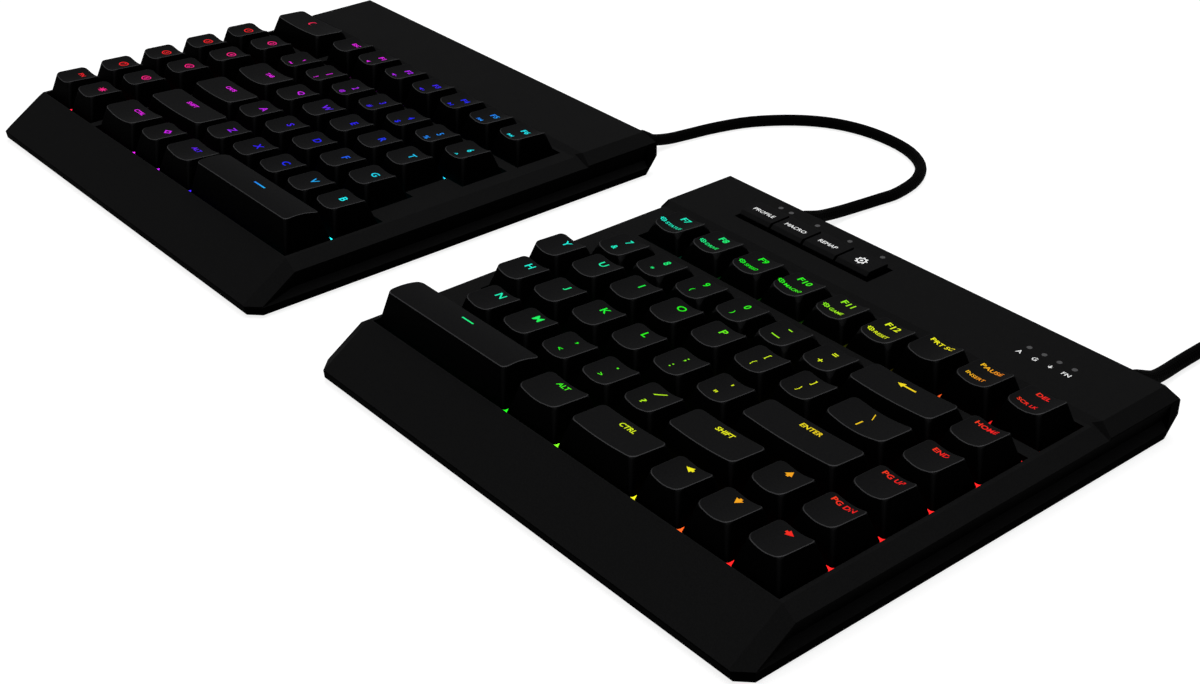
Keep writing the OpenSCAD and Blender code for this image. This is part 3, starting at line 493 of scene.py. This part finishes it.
# Feet and screws: round rubber feet pressed into pockets under each tray, and steel screws from below that
# pull the tray up to the top shell. The solids have the right shape and only take a material.
foot_rubber = moulding("foot_rubber", (0.012,) * 3, (0.75, 0.9), 0.2, 1500, 0.0001)
screw_steel, screw_shader = new_material("screw_steel", (0.16, 0.16, 0.17), 0.4, 0.5)
screw_shader.inputs["Metallic"].default_value = 1
screw_grain = add_node(screw_steel.node_tree, "Group", {
    "Grain Scale": 1800, "Gloss Low": 0.3, "Gloss High": 0.5}, node_tree=grain_and_painted_shade)
screw_steel.node_tree.links.new(screw_grain.outputs["Roughness"], screw_shader.inputs["Roughness"])


def dress(node, material):
    """A solid whose shape is right keeps its mesh and takes a finished material."""
    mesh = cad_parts[node].data
    mesh.materials.clear()
    mesh.materials.append(material)


for side in ("left", "right"):
    dress(side + "_rubber_feet", foot_rubber)
    dress(side + "_case_screws", screw_steel)

# Inside: a green circuit board on pads, a steel switch plate over it, and a housing clipped in for each key.
# A lamp in each housing lights its key from below, and some of that light escapes between the caps.
leak_lead = 0.026
glow_reach = 0.2
glow_stops = (
    (-0.2, (0.97, 0.12, 0.16)), (-0.158, (0.97, 0.12, 0.97)), (-0.135, (0.92, 0.12, 0.97)),
    (-0.118, (0.68, 0.12, 0.97)), (-0.106, (0.27, 0.12, 0.97)), (-0.085, (0.13, 0.12, 0.97)),
    (-0.073, (0.12, 0.2, 0.97)), (-0.06, (0.12, 0.62, 0.97)), (-0.05, (0.12, 0.86, 0.97)),
    (-0.04, (0.12, 0.96, 0.97)), (0.036, (0.12, 0.97, 0.9)), (0.057, (0.12, 0.97, 0.66)),
    (0.071, (0.12, 0.97, 0.36)), (0.085, (0.12, 0.97, 0.12)), (0.102, (0.2, 0.97, 0.12)),
    (0.123, (0.64, 0.97, 0.12)), (0.133, (0.86, 0.97, 0.12)), (0.157, (0.97, 0.97, 0.12)),
    (0.174, (0.97, 0.82, 0.12)), (0.181, (0.97, 0.6, 0.12)), (0.2, (0.97, 0.12, 0.12)))


def glow_group():
    """Colour of the key lamps: a run of colours across both modules, written as they show, red round to red.

    Towards its right end the run is read further right by the lead. White is mixed in by the paleness. Behind
    the main keys the light falls to the rear share, and near the right end it comes back. It dies out before
    the outermost front corner, past the last lamp.
    """
    group, given, made = new_group(
        "key_glow", {"Paleness": "Float", "Rear Share": "Float", "Lead": "Float"}, {"Glow": "Color"})
    place = add_node(group, "TexCoord")
    split = add_node(group, "SeparateXYZ", {0: place.outputs["Object"]})
    x, y = split.outputs["X"], split.outputs["Y"]
    ahead = maths(group, "ADD", x, ramp(group, x, 0.115, 0.175, 0, given["Lead"]))
    run = add_node(group, "ValToRGB", {"Fac": ramp(group, ahead, -glow_reach, glow_reach, 0, 1)})
    stops = run.color_ramp.elements
    stops[0].color = (*glow_stops[0][1], 1)
    stops[1].color = (*glow_stops[-1][1], 1)
    for stop, colour in glow_stops[1:-1]:
        stops.new(0.5 + 0.5 * stop / glow_reach).color = (*colour, 1)
    pale = add_node(group, "Mix", {
        "Factor": given["Paleness"], "A": run.outputs["Color"], "B": (1, 1, 1, 1)}, data_type="RGBA")
    screen = add_node(group, "Gamma", {"Color": pale.outputs["Result"], "Gamma": 2.2})
    rear = ramp(group, y, 0.024, 0.034, 1, given["Rear Share"])
    right_end = ramp(group, x, 0.158, 0.166, 0, 0.6)
    corner = ramp(group, maths(group, "SUBTRACT", x, y), 0.266, 0.271, 1, 0)
    share = maths(group, "MULTIPLY", maths(group, "MAXIMUM", right_end, rear), corner)
    group.links.new(scaled(group, screen.outputs["Color"], share), made["Glow"])
    return group


key_glow = glow_group()


def lit(material, strength, paleness, rear_share, lead):
    """The key lamps' colour as the material's own light."""
    tree = material.node_tree
    shader = tree.nodes["Principled BSDF"]
    glow = add_node(tree, "Group", {"Paleness": paleness, "Rear Share": rear_share, "Lead": lead},
                    node_tree=key_glow)
    tree.links.new(glow.outputs["Glow"], shader.inputs["Emission Color"])
    shader.inputs["Emission Strength"].default_value = strength


board_green = moulding("board", (0.01, 0.05, 0.025), (0.35, 0.5), 0.4, 900, 0.00003)
plate_paint = moulding("plate_paint", (0.03, 0.03, 0.032), (0.4, 0.6), 0.3, 1200, 0.00004)
# The plate is no lamp: its glow is painted light standing in for the lamps' light falling on it.
lit(plate_paint, 1.2, 0.03, 0.01, leak_lead)
housing_plastic = moulding("switch_plastic", (0.05,) * 3, (0.3, 0.45), 0.3, 1500, 0.00003)
lit(housing_plastic, 1.6, 0.03, 0.01, leak_lead)
for side in ("left", "right"):
    dress(side + "_circuit_board", board_green)
    dress(side + "_switch_plate", plate_paint)
    dress(side + "_switch_housings", housing_plastic)
dress("button_switches", moulding("tact_plastic", (0.04, 0.04, 0.042), (0.35, 0.5), 0.4, 1200, 0.00003))

# Panel buttons: four bars in one recess of the rear panel, each with a bevelled front edge. Three carry a
# word printed in white and the last a plain gear. Prints and keys are in millimetres until they are a mesh.
# Painted shade: the buttons' upright faces take a darker colour than their tops.
button_plastic = moulding("button_plastic", (0.0062, 0.0062, 0.0064), (0.4, 0.5), 0.001, 2400, 0.00005,
                          (0.0008,) * 3)
print_white = moulding("panel_print", (0.72,) * 3, (0.5, 0.6), 0.2, 1800, 0.00001)
right_place = np.array([118.6875, -70.55])
left_place = np.array([-118.6875, -69.05])
first_button = right_place + [-61.8, 141.1]
button_pitch = 15.3
button_top = 19.0
panel_top = 17.3
print_lift = 0.02
capital = 0.682
strip_width = 0.23
thin_line = 0.015
bold_line = 0.02
shape_store = {}


def strips(curve, middle):
    """Triangles of a filled curve, cut into narrow strips along X, with the middle of the curve as origin."""
    holder = add_object("sketch", curve)
    bpy.context.view_layer.update()
    flat = bpy.data.meshes.new_from_object(holder.evaluated_get(bpy.context.evaluated_depsgraph_get()))
    bpy.data.objects.remove(holder)
    bpy.data.curves.remove(curve)
    work = bmesh.new()
    work.from_mesh(flat)
    bpy.data.meshes.remove(flat)
    xs = [v.co.x for v in work.verts]
    low, high = min(xs), max(xs)
    for x in np.arange(low + strip_width, high, strip_width):
        parts = work.verts[:] + work.edges[:] + work.faces[:]
        bmesh.ops.bisect_plane(work, geom=parts, plane_co=(float(x), 0, 0), plane_no=(1, 0, 0))
    bmesh.ops.triangulate(work, faces=work.faces)
    work.verts.ensure_lookup_table()
    points = np.array([v.co.xy for v in work.verts])
    faces = [[v.index for v in f.verts] for f in work.faces]
    work.free()
    return points - [(low + high) / 2, middle], faces


def text_shape(text, weight=thin_line):
    """Flat letters about the origin, one high, in narrow strips so that they can follow a curve along X."""
    if (text, weight) not in shape_store:
        letters = bpy.data.curves.new("letters", "FONT")
        letters.body = text
        letters.resolution_u = 3
        letters.offset = weight
        points, faces = strips(letters, capital / 2)
        shape_store[text, weight] = points / capital, faces
    return shape_store[text, weight]


def outline_shape(*loops):
    """Flat shape from closed loops of points, filled by even and odd: a loop inside another is a hole."""
    sketch = bpy.data.curves.new("sketch", "CURVE")
    sketch.dimensions = "2D"
    sketch.fill_mode = "BOTH"
    for loop in loops:
        spline = sketch.splines.new("POLY")
        spline.points.add(len(loop) - 1)
        flat = np.hstack([loop, [[0, 1]] * len(loop)])
        spline.points.foreach_set("co", flat.ravel())
        spline.use_cyclic_u = True
    return strips(sketch, 0.0)


def circle(radius, sides, x=0.0):
    """Points of a circle about a place on the X line."""
    turn = np.linspace(0, 2 * np.pi, sides, endpoint=False)
    return np.stack([x + radius * np.cos(turn), radius * np.sin(turn)], -1)


def gear_outline(teeth, inner, outer):
    """Circle whose radius steps between two values, four points to a tooth."""
    turn = (np.arange(teeth * 4) + 0.5) / (teeth * 4) * 2 * np.pi
    radius = np.where(np.arange(teeth * 4) % 4 < 2, outer, inner)
    return np.stack([radius * np.cos(turn), radius * np.sin(turn)], -1)


def gathered(parts):
    """One mesh from several: the faces of each are numbered on from the points of those before it."""
    starts = np.cumsum([0] + [len(points) for points, faces in parts]).tolist()
    faces = [[i + start for i in face] for part, start in zip(parts, starts) for face in part[1]]
    return np.vstack([points for points, faces in parts]), faces


def flat_marks(name, marks, height, body):
    """Printed marks on a flat top: each is a shape, a middle and a size, laid a hair over the surface."""
    parts = [(np.insert(shape * size + middle, 2, height + print_lift, axis=1), faces)
             for (shape, faces), middle, size in marks]
    points, faces = gathered(parts)
    piece = make_piece(name, points * millimetre, faces, print_white, smooth=False)
    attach(piece, body)


def panel_button(place, node, shape, size):
    """Bar with softened edges, so many places along the row, and the print on its top."""
    edged_copy(node, node, button_plastic, 0.00022)
    middle = first_button + [button_pitch * place, 0]
    flat_marks(node + "_print", [(shape, middle, size)], button_top, node)


gear = outline_shape(gear_outline(8, 0.38, 0.5), circle(0.27, 20), circle(0.13, 14))
for place, name in enumerate(("profile", "macro", "remap")):
    panel_button(place, name + "_button", text_shape(name.upper()), (1.85, 1.7))
panel_button(3, "settings_button", gear, 4.6)

# Indicator lights: nine clear lenses flush with the rear panel, five by the buttons and four for the states.
# They are dark in use, and a printed sign stands in front of each state light.
lens_grey = moulding("lens", (0.045, 0.045, 0.046), (0.3, 0.42), 0.05, 1500, 0.00001)
dress("indicator_lenses", lens_grey)
down_arrow = outline_shape([
    (-0.09, 0.5), (0.09, 0.5), (0.09, 0), (0.42, 0), (0, -0.5), (-0.42, 0), (-0.09, 0)])
first_state = right_place + [53.5, 137.3]
state_pitch = 5.9
state_signs = ((text_shape("A"), 1.75), (text_shape("G"), 1.75), (down_arrow, 1.9), (text_shape("FN"), 1.65))
flat_marks("state_signs", [
    (shape, first_state + [state_pitch * place, 0], (1.08 * size, size))
    for place, (shape, size) in enumerate(state_signs)], panel_top, "right_module")

# Keys: each cap is a thin moulded shell, square at the skirt and drawn in to a dished top, on a sprung
# slider. The cap is black with clear signs that the lamp below lights, a highlight painted on its front and
# right edges and a painted shade on its upright sides.
key_pitch = 19.05
field_half = 9.5 * key_pitch / 2
top_row_front = 100.95
skirt_height = 14.7
cap_gap = 0.85
cap_height = 8.4
cap_draw = 2.8
cap_wall = 1.3
cap_lip = 0.15
tilt = math.tan(math.radians(4))
bar_crest = 12.5
bar_middle = -2.3
bar_radius = 25.0
fillet = 0.24
corner_steps = 6
legend_lift = 0.025


def dish_depth(units):
    """Narrow caps have a deep dish, wide caps a shallow one."""
    return 1.5 if units < 1.75 else 0.7


def top_height(x, y, units, drop, bar):
    """Height of a cap's top over its skirt: an arc across X and a fall to the rear, or a bar's crown."""
    if bar:
        return bar_crest - bar_radius + np.sqrt(bar_radius**2 - (y - bar_middle) ** 2)
    half = (units * key_pitch - cap_gap) / 2 - cap_draw
    depth = dish_depth(units)
    radius = half**2 / (2 * depth) + depth / 2
    return cap_height - drop + radius - np.sqrt(radius**2 - x**2) - y * tilt


def cap_outline(units):
    """Way round a cap: share of the straight part along X and Y, and the angle of the outward direction."""
    across = np.linspace(1, -1, max(7, int(6 * units)))
    across[1], across[-2] = 1 - 0.16 / units, 0.16 / units - 1
    deep = np.linspace(1, -1, 7)
    turn = np.linspace(0, np.pi / 2, corner_steps)
    share_x, share_y, angle = [], [], []
    for side, (corner_x, corner_y) in enumerate(((1, 1), (-1, 1), (-1, -1), (1, -1))):
        inner = (deep if side % 2 else across)[1:-1]
        still = np.ones(len(inner))
        share_x += [np.full(corner_steps, corner_x), corner_x * (still if side % 2 else inner)]
        share_y += [np.full(corner_steps, corner_y), corner_y * (inner if side % 2 else still)]
        angle += [side * np.pi / 2 + turn, still * (side + 1) * np.pi / 2]
    return [np.concatenate(parts) for parts in (share_x, share_y, angle)]


def keycap(units, drop, bar):
    """Rings of a cap from the middle of its hollow, down the inside, up the drawn side, over the edge and in.

    The painted highlight is strongest half way over the edge and on the front and right sides, and faint
    down one front corner.
    """
    share_x, share_y, angle = cap_outline(units)
    half_x = (units * key_pitch - cap_gap) / 2
    half_y = (key_pitch - cap_gap) / 2
    rim = bar_crest if bar else cap_height - drop + dish_depth(units)

    def wall(height, inset=0.0):
        inset = inset + cap_draw * height / rim
        corner = 1.0 + height / rim
        x = share_x * (half_x - inset - corner) + corner * np.cos(angle)
        y = share_y * (half_y - inset - corner) + corner * np.sin(angle)
        return x, y

    def on_top(x, y):
        return np.stack([x, y, top_height(x, y, units, drop, bar)], -1)

    edge = np.full(len(angle), cap_height - drop)
    for again in range(6):
        edge = top_height(*wall(edge), units, drop, bar)
    hollow = min(cap_height - drop - cap_wall, rim - 1.6)
    zero = np.zeros(len(angle))
    inner_rim = cap_wall - cap_lip
    bands = ((zero + hollow, cap_wall), (zero + cap_lip, cap_wall), (zero, inner_rim), (zero, cap_lip),
             (zero + cap_lip, 0.0), (edge - fillet - 0.4, 0.0))
    rings = [np.stack([*wall(height, inset), height], -1) for height, inset in bands]
    low = np.stack([*wall(edge - fillet), edge - fillet], -1)
    tip = np.stack([*wall(edge), edge], -1)
    high = on_top(*wall(edge, fillet))
    # Painted highlight: a faint stripe down the front corner that faces the front right.
    past_front = np.abs((angle - np.pi / 2) % (2 * np.pi) - np.pi - np.radians(30))
    painted_upright_tone = 0.1 * np.exp(-(past_front / np.radians(20)) ** 2) * (share_y < 0)
    # Painted highlight: strongest on the edges that face the front and the right.
    highlight_facing = (0.5 + 0.5 * np.cos(angle + np.pi / 4)) ** 1.5
    painted_highlight = [zero] * 3 + [painted_upright_tone] * 3
    for t, highlight_share in ((0, 0), (0.25, 0.7), (0.5, 1), (0.75, 0.7), (1, 0)):
        rings.append((1 - t) ** 2 * low + 2 * t * (1 - t) * tip + t**2 * high)
        painted_highlight.append(np.maximum(highlight_share * highlight_facing, (1 - t) * painted_upright_tone))
    rings.append(on_top(*wall(edge, fillet + 0.35)))
    x, y = wall(edge, fillet + 1.2)
    rings += [on_top(share * x, share * y) for share in (1, 0.75, 0.5, 0.25)]
    painted_highlight += [zero] * 5
    middle = float(top_height(np.array(0.0), np.array(0.0), units, drop, bar))
    points, faces = skin(np.array(rings), (0, 0, hollow), (0, 0, middle))
    return points, faces, np.concatenate(painted_highlight + [[0, 0]]), hollow


def slider(hollow):
    """Square slider with rounded edges under the cap, and the round socket that holds the cap on it."""
    stations = [(-4.55, 2.9, 2.9, 0.4), (-4.35, 3.2, 3.2, 0.5), (1.05, 3.2, 3.2, 0.5), (1.25, 3.0, 3.0, 0.4),
                (1.3, 2.8, 2.8, 2.79), (hollow + 0.1, 2.8, 2.8, 2.79)]
    return capped(sections_along(stations, 4)[:, ::-1, [0, 2, 1]])


def cap_material():
    """Cap plastic: black with fine grain, a painted highlight on the front and right edges, and a painted
    shade on upright faces.
    """
    material = moulding("cap_plastic", (0.0062, 0.0062, 0.0064), (0.4, 0.5), 0.001, 2600, 0.00004,
                        painted_side_shade)
    tree = material.node_tree
    # The painted highlight attribute lightens the colour along the edges.
    painted_highlight = add_node(tree, "Attribute", attribute_name="painted_highlight")
    highlighted = add_node(tree, "Mix", {
        "Factor": painted_highlight.outputs["Fac"], "A": tree.nodes["grain_and_painted_shade"].outputs["Tint"],
        "B": (0.058, 0.058, 0.06, 1)}, data_type="RGBA")
    tree.links.new(highlighted.outputs["Result"], tree.nodes["Principled BSDF"].inputs["Base Color"])
    return material


cap_plastic = cap_material()
legend_light = new_material("legend_light", (0.006,) * 3, 0.5, 0.004)[0]
lit(legend_light, 0.95, 0.0, 1, 0.0)
cap_store = {}


def legend_points(shape, middle, size, units, drop, bar):
    """A flat sign laid on a cap's top: each point takes the height of the top under it, and a hair more."""
    flat = shape * size + middle
    z = top_height(flat[:, 0], flat[:, 1], units, drop, bar) + legend_lift
    return np.column_stack([flat, z])


def key_set(node, module, first_unit, keys, drop=0.0, bar=False):
    """The caps of a set in one piece and their signs in another: each key is a unit, row, width and signs."""
    cap_parts, highlight_shares, sign_parts = [], [], []
    for unit, row, units, signs in keys:
        kind = units, drop, bar
        if kind not in cap_store:
            points, faces, highlight_share, hollow = keycap(*kind)
            stem = slider(hollow)
            cap_store[kind] = *gathered([(points, faces), stem]), np.r_[highlight_share, np.zeros(len(stem[0]))]
        points, faces, highlight_share = cap_store[kind]
        x = (unit + units / 2 - first_unit) * key_pitch - field_half
        y = (row + 0.5) * key_pitch if row < 5 else top_row_front + key_pitch / 2
        place = np.array([module[0] + x, module[1] + y, skirt_height])
        cap_parts.append((points + place, faces))
        highlight_shares.append(highlight_share)
        for (shape, triangles), middle, size in signs:
            sign_parts.append((legend_points(shape, middle, size, *kind) + place, triangles))
    points, faces = gathered(cap_parts)
    caps = make_piece(node + "_caps", points * millimetre, faces, cap_plastic)
    painted_highlight = caps.data.attributes.new("painted_highlight", "FLOAT", "POINT")
    painted_highlight.data.foreach_set("value", np.concatenate(highlight_shares).astype(np.float32))
    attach(caps, node)
    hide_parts(node)
    points, faces = gathered(sign_parts)
    legends = make_piece(node + "_legends", points * millimetre, faces, legend_light, smooth=False)
    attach(legends, node)


sign_sizes = {
    ",": (0.75, 1.2), ".": (0.75, 0.75), ";": (0.62, 2.3), ":": (0.58, 2.0), "'": (0.48, 1.1),
    "\"": (1.1, 1.15), "<": (1.4, 1.55), ">": (1.4, 1.55), "/": (3.0, 3.1), "?": (1.3, 2.2),
    "[": (0.65, 2.95), "]": (0.65, 2.95), "{": (0.65, 2.95), "}": (0.65, 2.95), "\\": (1.7, 3.0),
    "|": (0.46, 2.95), "-": (1.6, 0.48), "_": (3.3, 0.5), "=": (1.8, 1.4), "+": (1.75, 1.9),
    "(": (0.7, 2.55), ")": (0.7, 2.55), "*": (1.3, 1.35), "&": (1.8, 2.4), "^": (1.5, 1.0), "%": (2.3, 2.3),
    "$": (1.6, 2.7), "#": (2.0, 2.2), "@": (2.4, 2.4), "!": (0.5, 2.4), "`": (0.9, 1.4), "~": (2.3, 0.9)}
slant = np.array([[-0.5, -0.5], [-0.31, -0.5], [0.5, 0.5], [0.31, 0.5]])
shape_store["/", thin_line] = outline_shape(slant)
shape_store["\\", thin_line] = outline_shape(slant * [-1, 1])


def boxed(shape, width, height):
    """A sign centred on its own box and drawn out to a width and a height."""
    points, faces = shape
    low, high = points.min(axis=0), points.max(axis=0)
    return (points - (low + high) / 2) / (high - low) * [width, height], faces


def letters(first, row, text, y, x=-1.0):
    """Keys in a row, each with one capital behind the middle of its top, as wide as the letters make it."""
    keys = []
    for i, sign in enumerate(text):
        shape = text_shape(sign)
        keys.append((first + i, row, 1, [(boxed(shape, 2.85 * np.ptp(shape[0][:, 0]), 3.0), (x, y), 1)]))
    return keys


def word(text, y, x=-0.6):
    """A word behind the middle of the top."""
    return [(text_shape(text, bold_line), (x, y), 1.85)]


def pair(main, shifted, rear_y, front_y, x=-1.1):
    """The plain sign behind the middle of the top and the shifted one near the front edge."""
    rear, front = text_shape(main), text_shape(shifted)
    rear_size = sign_sizes.get(main) or (2.2 * np.ptp(rear[0][:, 0]), 3.0)
    return [(boxed(rear, *rear_size), (x, rear_y), 1),
            (boxed(front, *sign_sizes[shifted]), (x - 0.35, front_y), 1)]


def pairs(first, row, signs, rear_y, front_y, x=-1.1):
    """Keys in a row, each with its plain and its shifted sign."""
    return [(first + i, row, 1, pair(*both, rear_y, front_y, x)) for i, both in enumerate(signs)]


def two_words(main, second):
    """A word at the rear of the top and a smaller one at the front."""
    return [(text_shape(main, bold_line), (-0.65, 4.2), (1.9, 1.8)),
            (text_shape(second), (-1.1, -2.75), (1.45, 1.5))]


def function_sign(number, second):
    """Function key: its number at the rear and a gear with a small word at the front."""
    width = text_shape(second)[0][:, 0].max() * 1.42
    return [(text_shape(number, bold_line), (-1.25, 4.2), 2.5), (gear, (-width - 1.6, -2.55), 2.3),
            (text_shape(second), (-0.1, -2.55), (1.42, 1.5))]


def media(number, sign):
    """Function key of the left module: its number at the rear and a sound or track sign at the front."""
    return [(text_shape(number, bold_line), (-0.4, 2.1), (2.7, 2.3)), (sign, (-1.2, -4.4), (2.6, 2.4))]


arrow_head = np.array([
    [-0.43, -0.2], [0.0, 0.55], [0.43, -0.2], [0.15, -0.2], [0.15, -0.42], [-0.15, -0.42], [-0.15, -0.2]])


def arrow(turns, y):
    """Short arrow with a solid head, turned by quarter turns."""
    a = turns * np.pi / 2
    turn = np.array([[math.cos(a), math.sin(a)], [-math.sin(a), math.cos(a)]])
    return [(outline_shape(arrow_head @ turn), (-1.15, y), 3.0)]


def bar_loop(left, front, right, rear):
    """Corners of an upright rectangle."""
    return [(left, front), (right, front), (right, rear), (left, rear)]


long_arrow = outline_shape([
    (-0.5, 0), (-0.16, 0.18), (-0.16, 0.05), (0.5, 0.05), (0.5, -0.05), (-0.16, -0.05), (-0.16, -0.18)])
dash = outline_shape(bar_loop(-0.5, -0.055, 0.5, 0.055))
tilted_square = np.array([[0, 1], [-1, 0], [0, -1], [1, 0]])
diamond = outline_shape(0.5 * tilted_square, 0.26 * tilted_square)
ring_mark = outline_shape(circle(0.5, 24), circle(0.38, 24))
sun = outline_shape(gear_outline(8, 0.24, 0.5))
crescent = outline_shape(np.vstack([circle(0.5, 24)[3:22], circle(0.42, 24, 0.16)[20:4:-1]]))
speaker = [(-0.5, -0.15), (-0.28, -0.15), (0, -0.4), (0, 0.4), (-0.28, 0.15), (-0.5, 0.15)]
level_bar = bar_loop(0.18, -0.06, 0.5, 0.06)
quiet = outline_shape(speaker)
softer = outline_shape(speaker, level_bar)
louder = outline_shape(speaker, level_bar, bar_loop(0.28, 0.1, 0.4, 0.26), bar_loop(0.28, -0.26, 0.4, -0.1))
play = outline_shape([(-0.45, -0.38), (0.1, 0), (-0.45, 0.38)], bar_loop(0.2, -0.38, 0.34, 0.38))
skip_back = outline_shape([(0.5, -0.35), (0.5, 0.35), (0, 0)], [(0, -0.35), (0, 0.35), (-0.4, 0)],
                          bar_loop(-0.5, -0.35, -0.4, 0.35))
skip_on = outline_shape([(-0.5, -0.35), (0, 0), (-0.5, 0.35)], [(0, -0.35), (0.4, 0), (0, 0.35)],
                        bar_loop(0.4, -0.35, 0.5, 0.35))


def ringed(text):
    """A digit in a ring, for the spare keys at the left."""
    return [(ring_mark, (-1.1, 1.4), 3.8), (text_shape(text, bold_line), (-1.1, 1.4), (1.7, 1.8))]


def left_set(node, keys, bar=False):
    """Keys of the left module."""
    key_set(node, left_place, -2.25, keys, 0.0, bar)


def right_set(node, keys, drop=0.0, bar=False):
    """Keys of the right module: two of its rows are lower than the rest, and three wide keys higher."""
    key_set(node, right_place, 6.5, keys, drop, bar)


left_set("wide_top_key", [(-2.25, 5, 2, [(crescent, (-0.6, 1.5), (3.3, 3.7))])])
left_set("escape_key", [(0, 5, 1, word("ESC", 1.9, -0.2))])
left_set("left_function_keys", [
    (1 + i, 5, 1, media(f"F{i + 1}", sign))
    for i, sign in enumerate((quiet, softer, louder, play, skip_back, skip_on))])
left_set("macro_keys", [
    (-2.25 + column, row, 1, ringed(str(2 * (4 - row) + column + 1)))
    for row in (1, 2, 3, 4) for column in (0, 1)] + [
    (-2.25, 0, 1, word("FN", 2.5, -1.3)), (-1.25, 0, 1, [(sun, (-1.4, 1.9), 3.4)])])
left_set("left_number_keys", pairs(0, 4, ("`~", "1!", "2@", "3#", "4$", "5%", "6^"), 1.7, -4.2, -0.55))
left_set("tab_key", [(0, 3, 1.5, word("TAB", 2.1, -0.4))])
left_set("left_upper_letter_keys", letters(1.5, 3, "QWERT", 1.75, -0.7))
left_set("caps_lock_key", [(0, 2, 1.75, word("CAPS", 2.4, -0.5))])
left_set("left_home_letter_keys", letters(1.75, 2, "ASDFG", 2.0))
left_set("left_shift_key", [(0, 1, 2.25, word("SHIFT", 2.5, -1.3))])
left_set("left_lower_letter_keys", letters(2.25, 1, "ZXCVB", 1.95, -1.15))
left_set("left_control_key", [(0, 0, 1.5, word("CTRL", 2.6, -0.5))])
left_set("system_key", [(1.5, 0, 1, [(diamond, (-1.0, 1.95), 3.3)])])
left_set("left_alt_key", [(2.5, 0, 1.25, word("ALT", 2.4, -1.3))])
left_set("left_space_bar", [(3.75, 0, 3.5, [(dash, (1.4, 0.8), (6.8, 6.4))])], bar=True)

low_row = 2.6
wide_rise = 0.9
right_set("right_function_keys", [
    (7 + i, 5, 1, function_sign(f"F{7 + i}", second))
    for i, second in enumerate(("STATUS", "DRIVE", "SPEED", "MACRO", "GAME", "RESET"))], drop=low_row)
right_set("edit_keys", [
    (13, 5, 1, word("PRT SC", 4.1)), (14, 5, 1, two_words("PAUSE", "INSERT")),
    (15, 5, 1, two_words("DEL", "SCR LK"))])
right_set("right_number_keys", pairs(7, 4, ("7&", "8*", "9(", "0)", "-_", "=+"), 3.7, -2.4, -1.4),
          drop=low_row)
right_set("backspace_key", [(13, 4, 2, [(long_arrow, (-1.2, 3.3), 7.0)])])
right_set("navigation_keys", [
    (15, 4, 1, word("HOME", 4.05)), (15, 3, 1, word("END", 4.25)), (15, 2, 1, word("PG UP", 4.45)),
    (15, 1, 1, word("PG DN", 4.45))])
right_set("right_upper_letter_keys", letters(6.5, 3, "YUIOP", 3.35) + pairs(
    11.5, 3, ("[{", "]}"), 3.5, -2.2) + [(13.5, 3, 1.5, pair("\\", "|", 3.4, -2.2))])
right_set("right_home_letter_keys", letters(6.75, 2, "HJKL", 3.65) + [
    (10.75, 2, 1, pair(";", ":", 3.1, -2.5)), (11.75, 2, 1, pair("'", "\"", 3.9, -2.4))])
right_set("enter_key", [(12.75, 2, 2.25, word("ENTER", 3.7, 0.2))], drop=-wide_rise)
right_set("right_lower_letter_keys", letters(7.25, 1, "NM", 3.8) + pairs(
    9.25, 1, (",<", ".>", "/?"), 3.75, -2.5))
right_set("right_shift_key", [(12.25, 1, 1.75, word("SHIFT", 3.6, 0.0))], drop=-wide_rise)
right_set("right_space_bar", [(6.5, 0, 3.5, [(dash, (0.9, 2.0), 5.6)])], bar=True)
right_set("right_alt_key", [(10, 0, 1.25, word("ALT", 4.5, -1.1))])
right_set("right_control_key", [(11.25, 0, 1.75, word("CTRL", 3.7, 0.0))], drop=-wide_rise)
right_set("arrow_up_key", [(14, 1, 1, arrow(0, 3.9))])
right_set("arrow_left_key", [(13, 0, 1, arrow(1, 4.3))])
right_set("arrow_down_key", [(14, 0, 1, arrow(2, 4.25))])
right_set("arrow_right_key", [(15, 0, 1, arrow(3, 4.3))])

# Stage: a wide pale desk under a broad soft lamp from above, a weaker one from the front right and a low grey
# room. The desk shows white to the camera and still takes the shadow.
desk_half = 6
desk_light = 0.84
room_light = 0.16


def seen_directly(tree):
    """One for what the camera sees straight, in a mirror or through glass, and nought for other light."""
    rays = add_node(tree, "LightPath").outputs
    mirrored = maths(tree, "MAXIMUM", rays["Is Camera Ray"], rays["Is Glossy Ray"])
    return maths(tree, "MAXIMUM", mirrored, rays["Is Transmission Ray"])


def soft_lamp(name, place, target, size, power):
    """Square soft lamp that looks at a point."""
    lamp = bpy.data.lights.new(name, "AREA")
    lamp.size = size
    lamp.energy = power
    holder = add_object(name, lamp)
    holder.location = place
    holder.rotation_euler = (Vector(target) - Vector(place)).to_track_quat("-Z", "Y").to_euler()


desk_white, desk_shader = new_material("desk_white", (0.24,) * 3, 0.9, 0.0)
desk_shader.inputs["Emission Color"].default_value = (1, 1, 1, 1)
desk_tree = desk_white.node_tree
desk_tree.links.new(maths(desk_tree, "MULTIPLY", seen_directly(desk_tree), desk_light),
                    desk_shader.inputs["Emission Strength"])
desk_corners = desk_half * np.array([[-1, -1, 0], [1, -1, 0], [1, 1, 0], [-1, 1, 0]])
desk = make_piece("desk", desk_corners, [[0, 1, 2, 3]], desk_white, smooth=False)

world = bpy.data.worlds.new("room")
bpy.context.scene.world = world
world.use_nodes = True
room = world.node_tree.nodes["Background"]
room.inputs["Color"].default_value = (1, 1, 1, 1)
room_level = ramp(world.node_tree, seen_directly(world.node_tree), 0, 1, room_light, 1)
world.node_tree.links.new(room_level, room.inputs["Strength"])

soft_lamp("top_lamp", (-0.1, 0.2, 1.7), (0, 0.05, 0), 1.4, 34)
soft_lamp("front_lamp", (1.2, -1.2, 1.0), (0, 0, 0), 0.5, 1.5)
bpy.context.scene.view_settings.view_transform = "Standard"
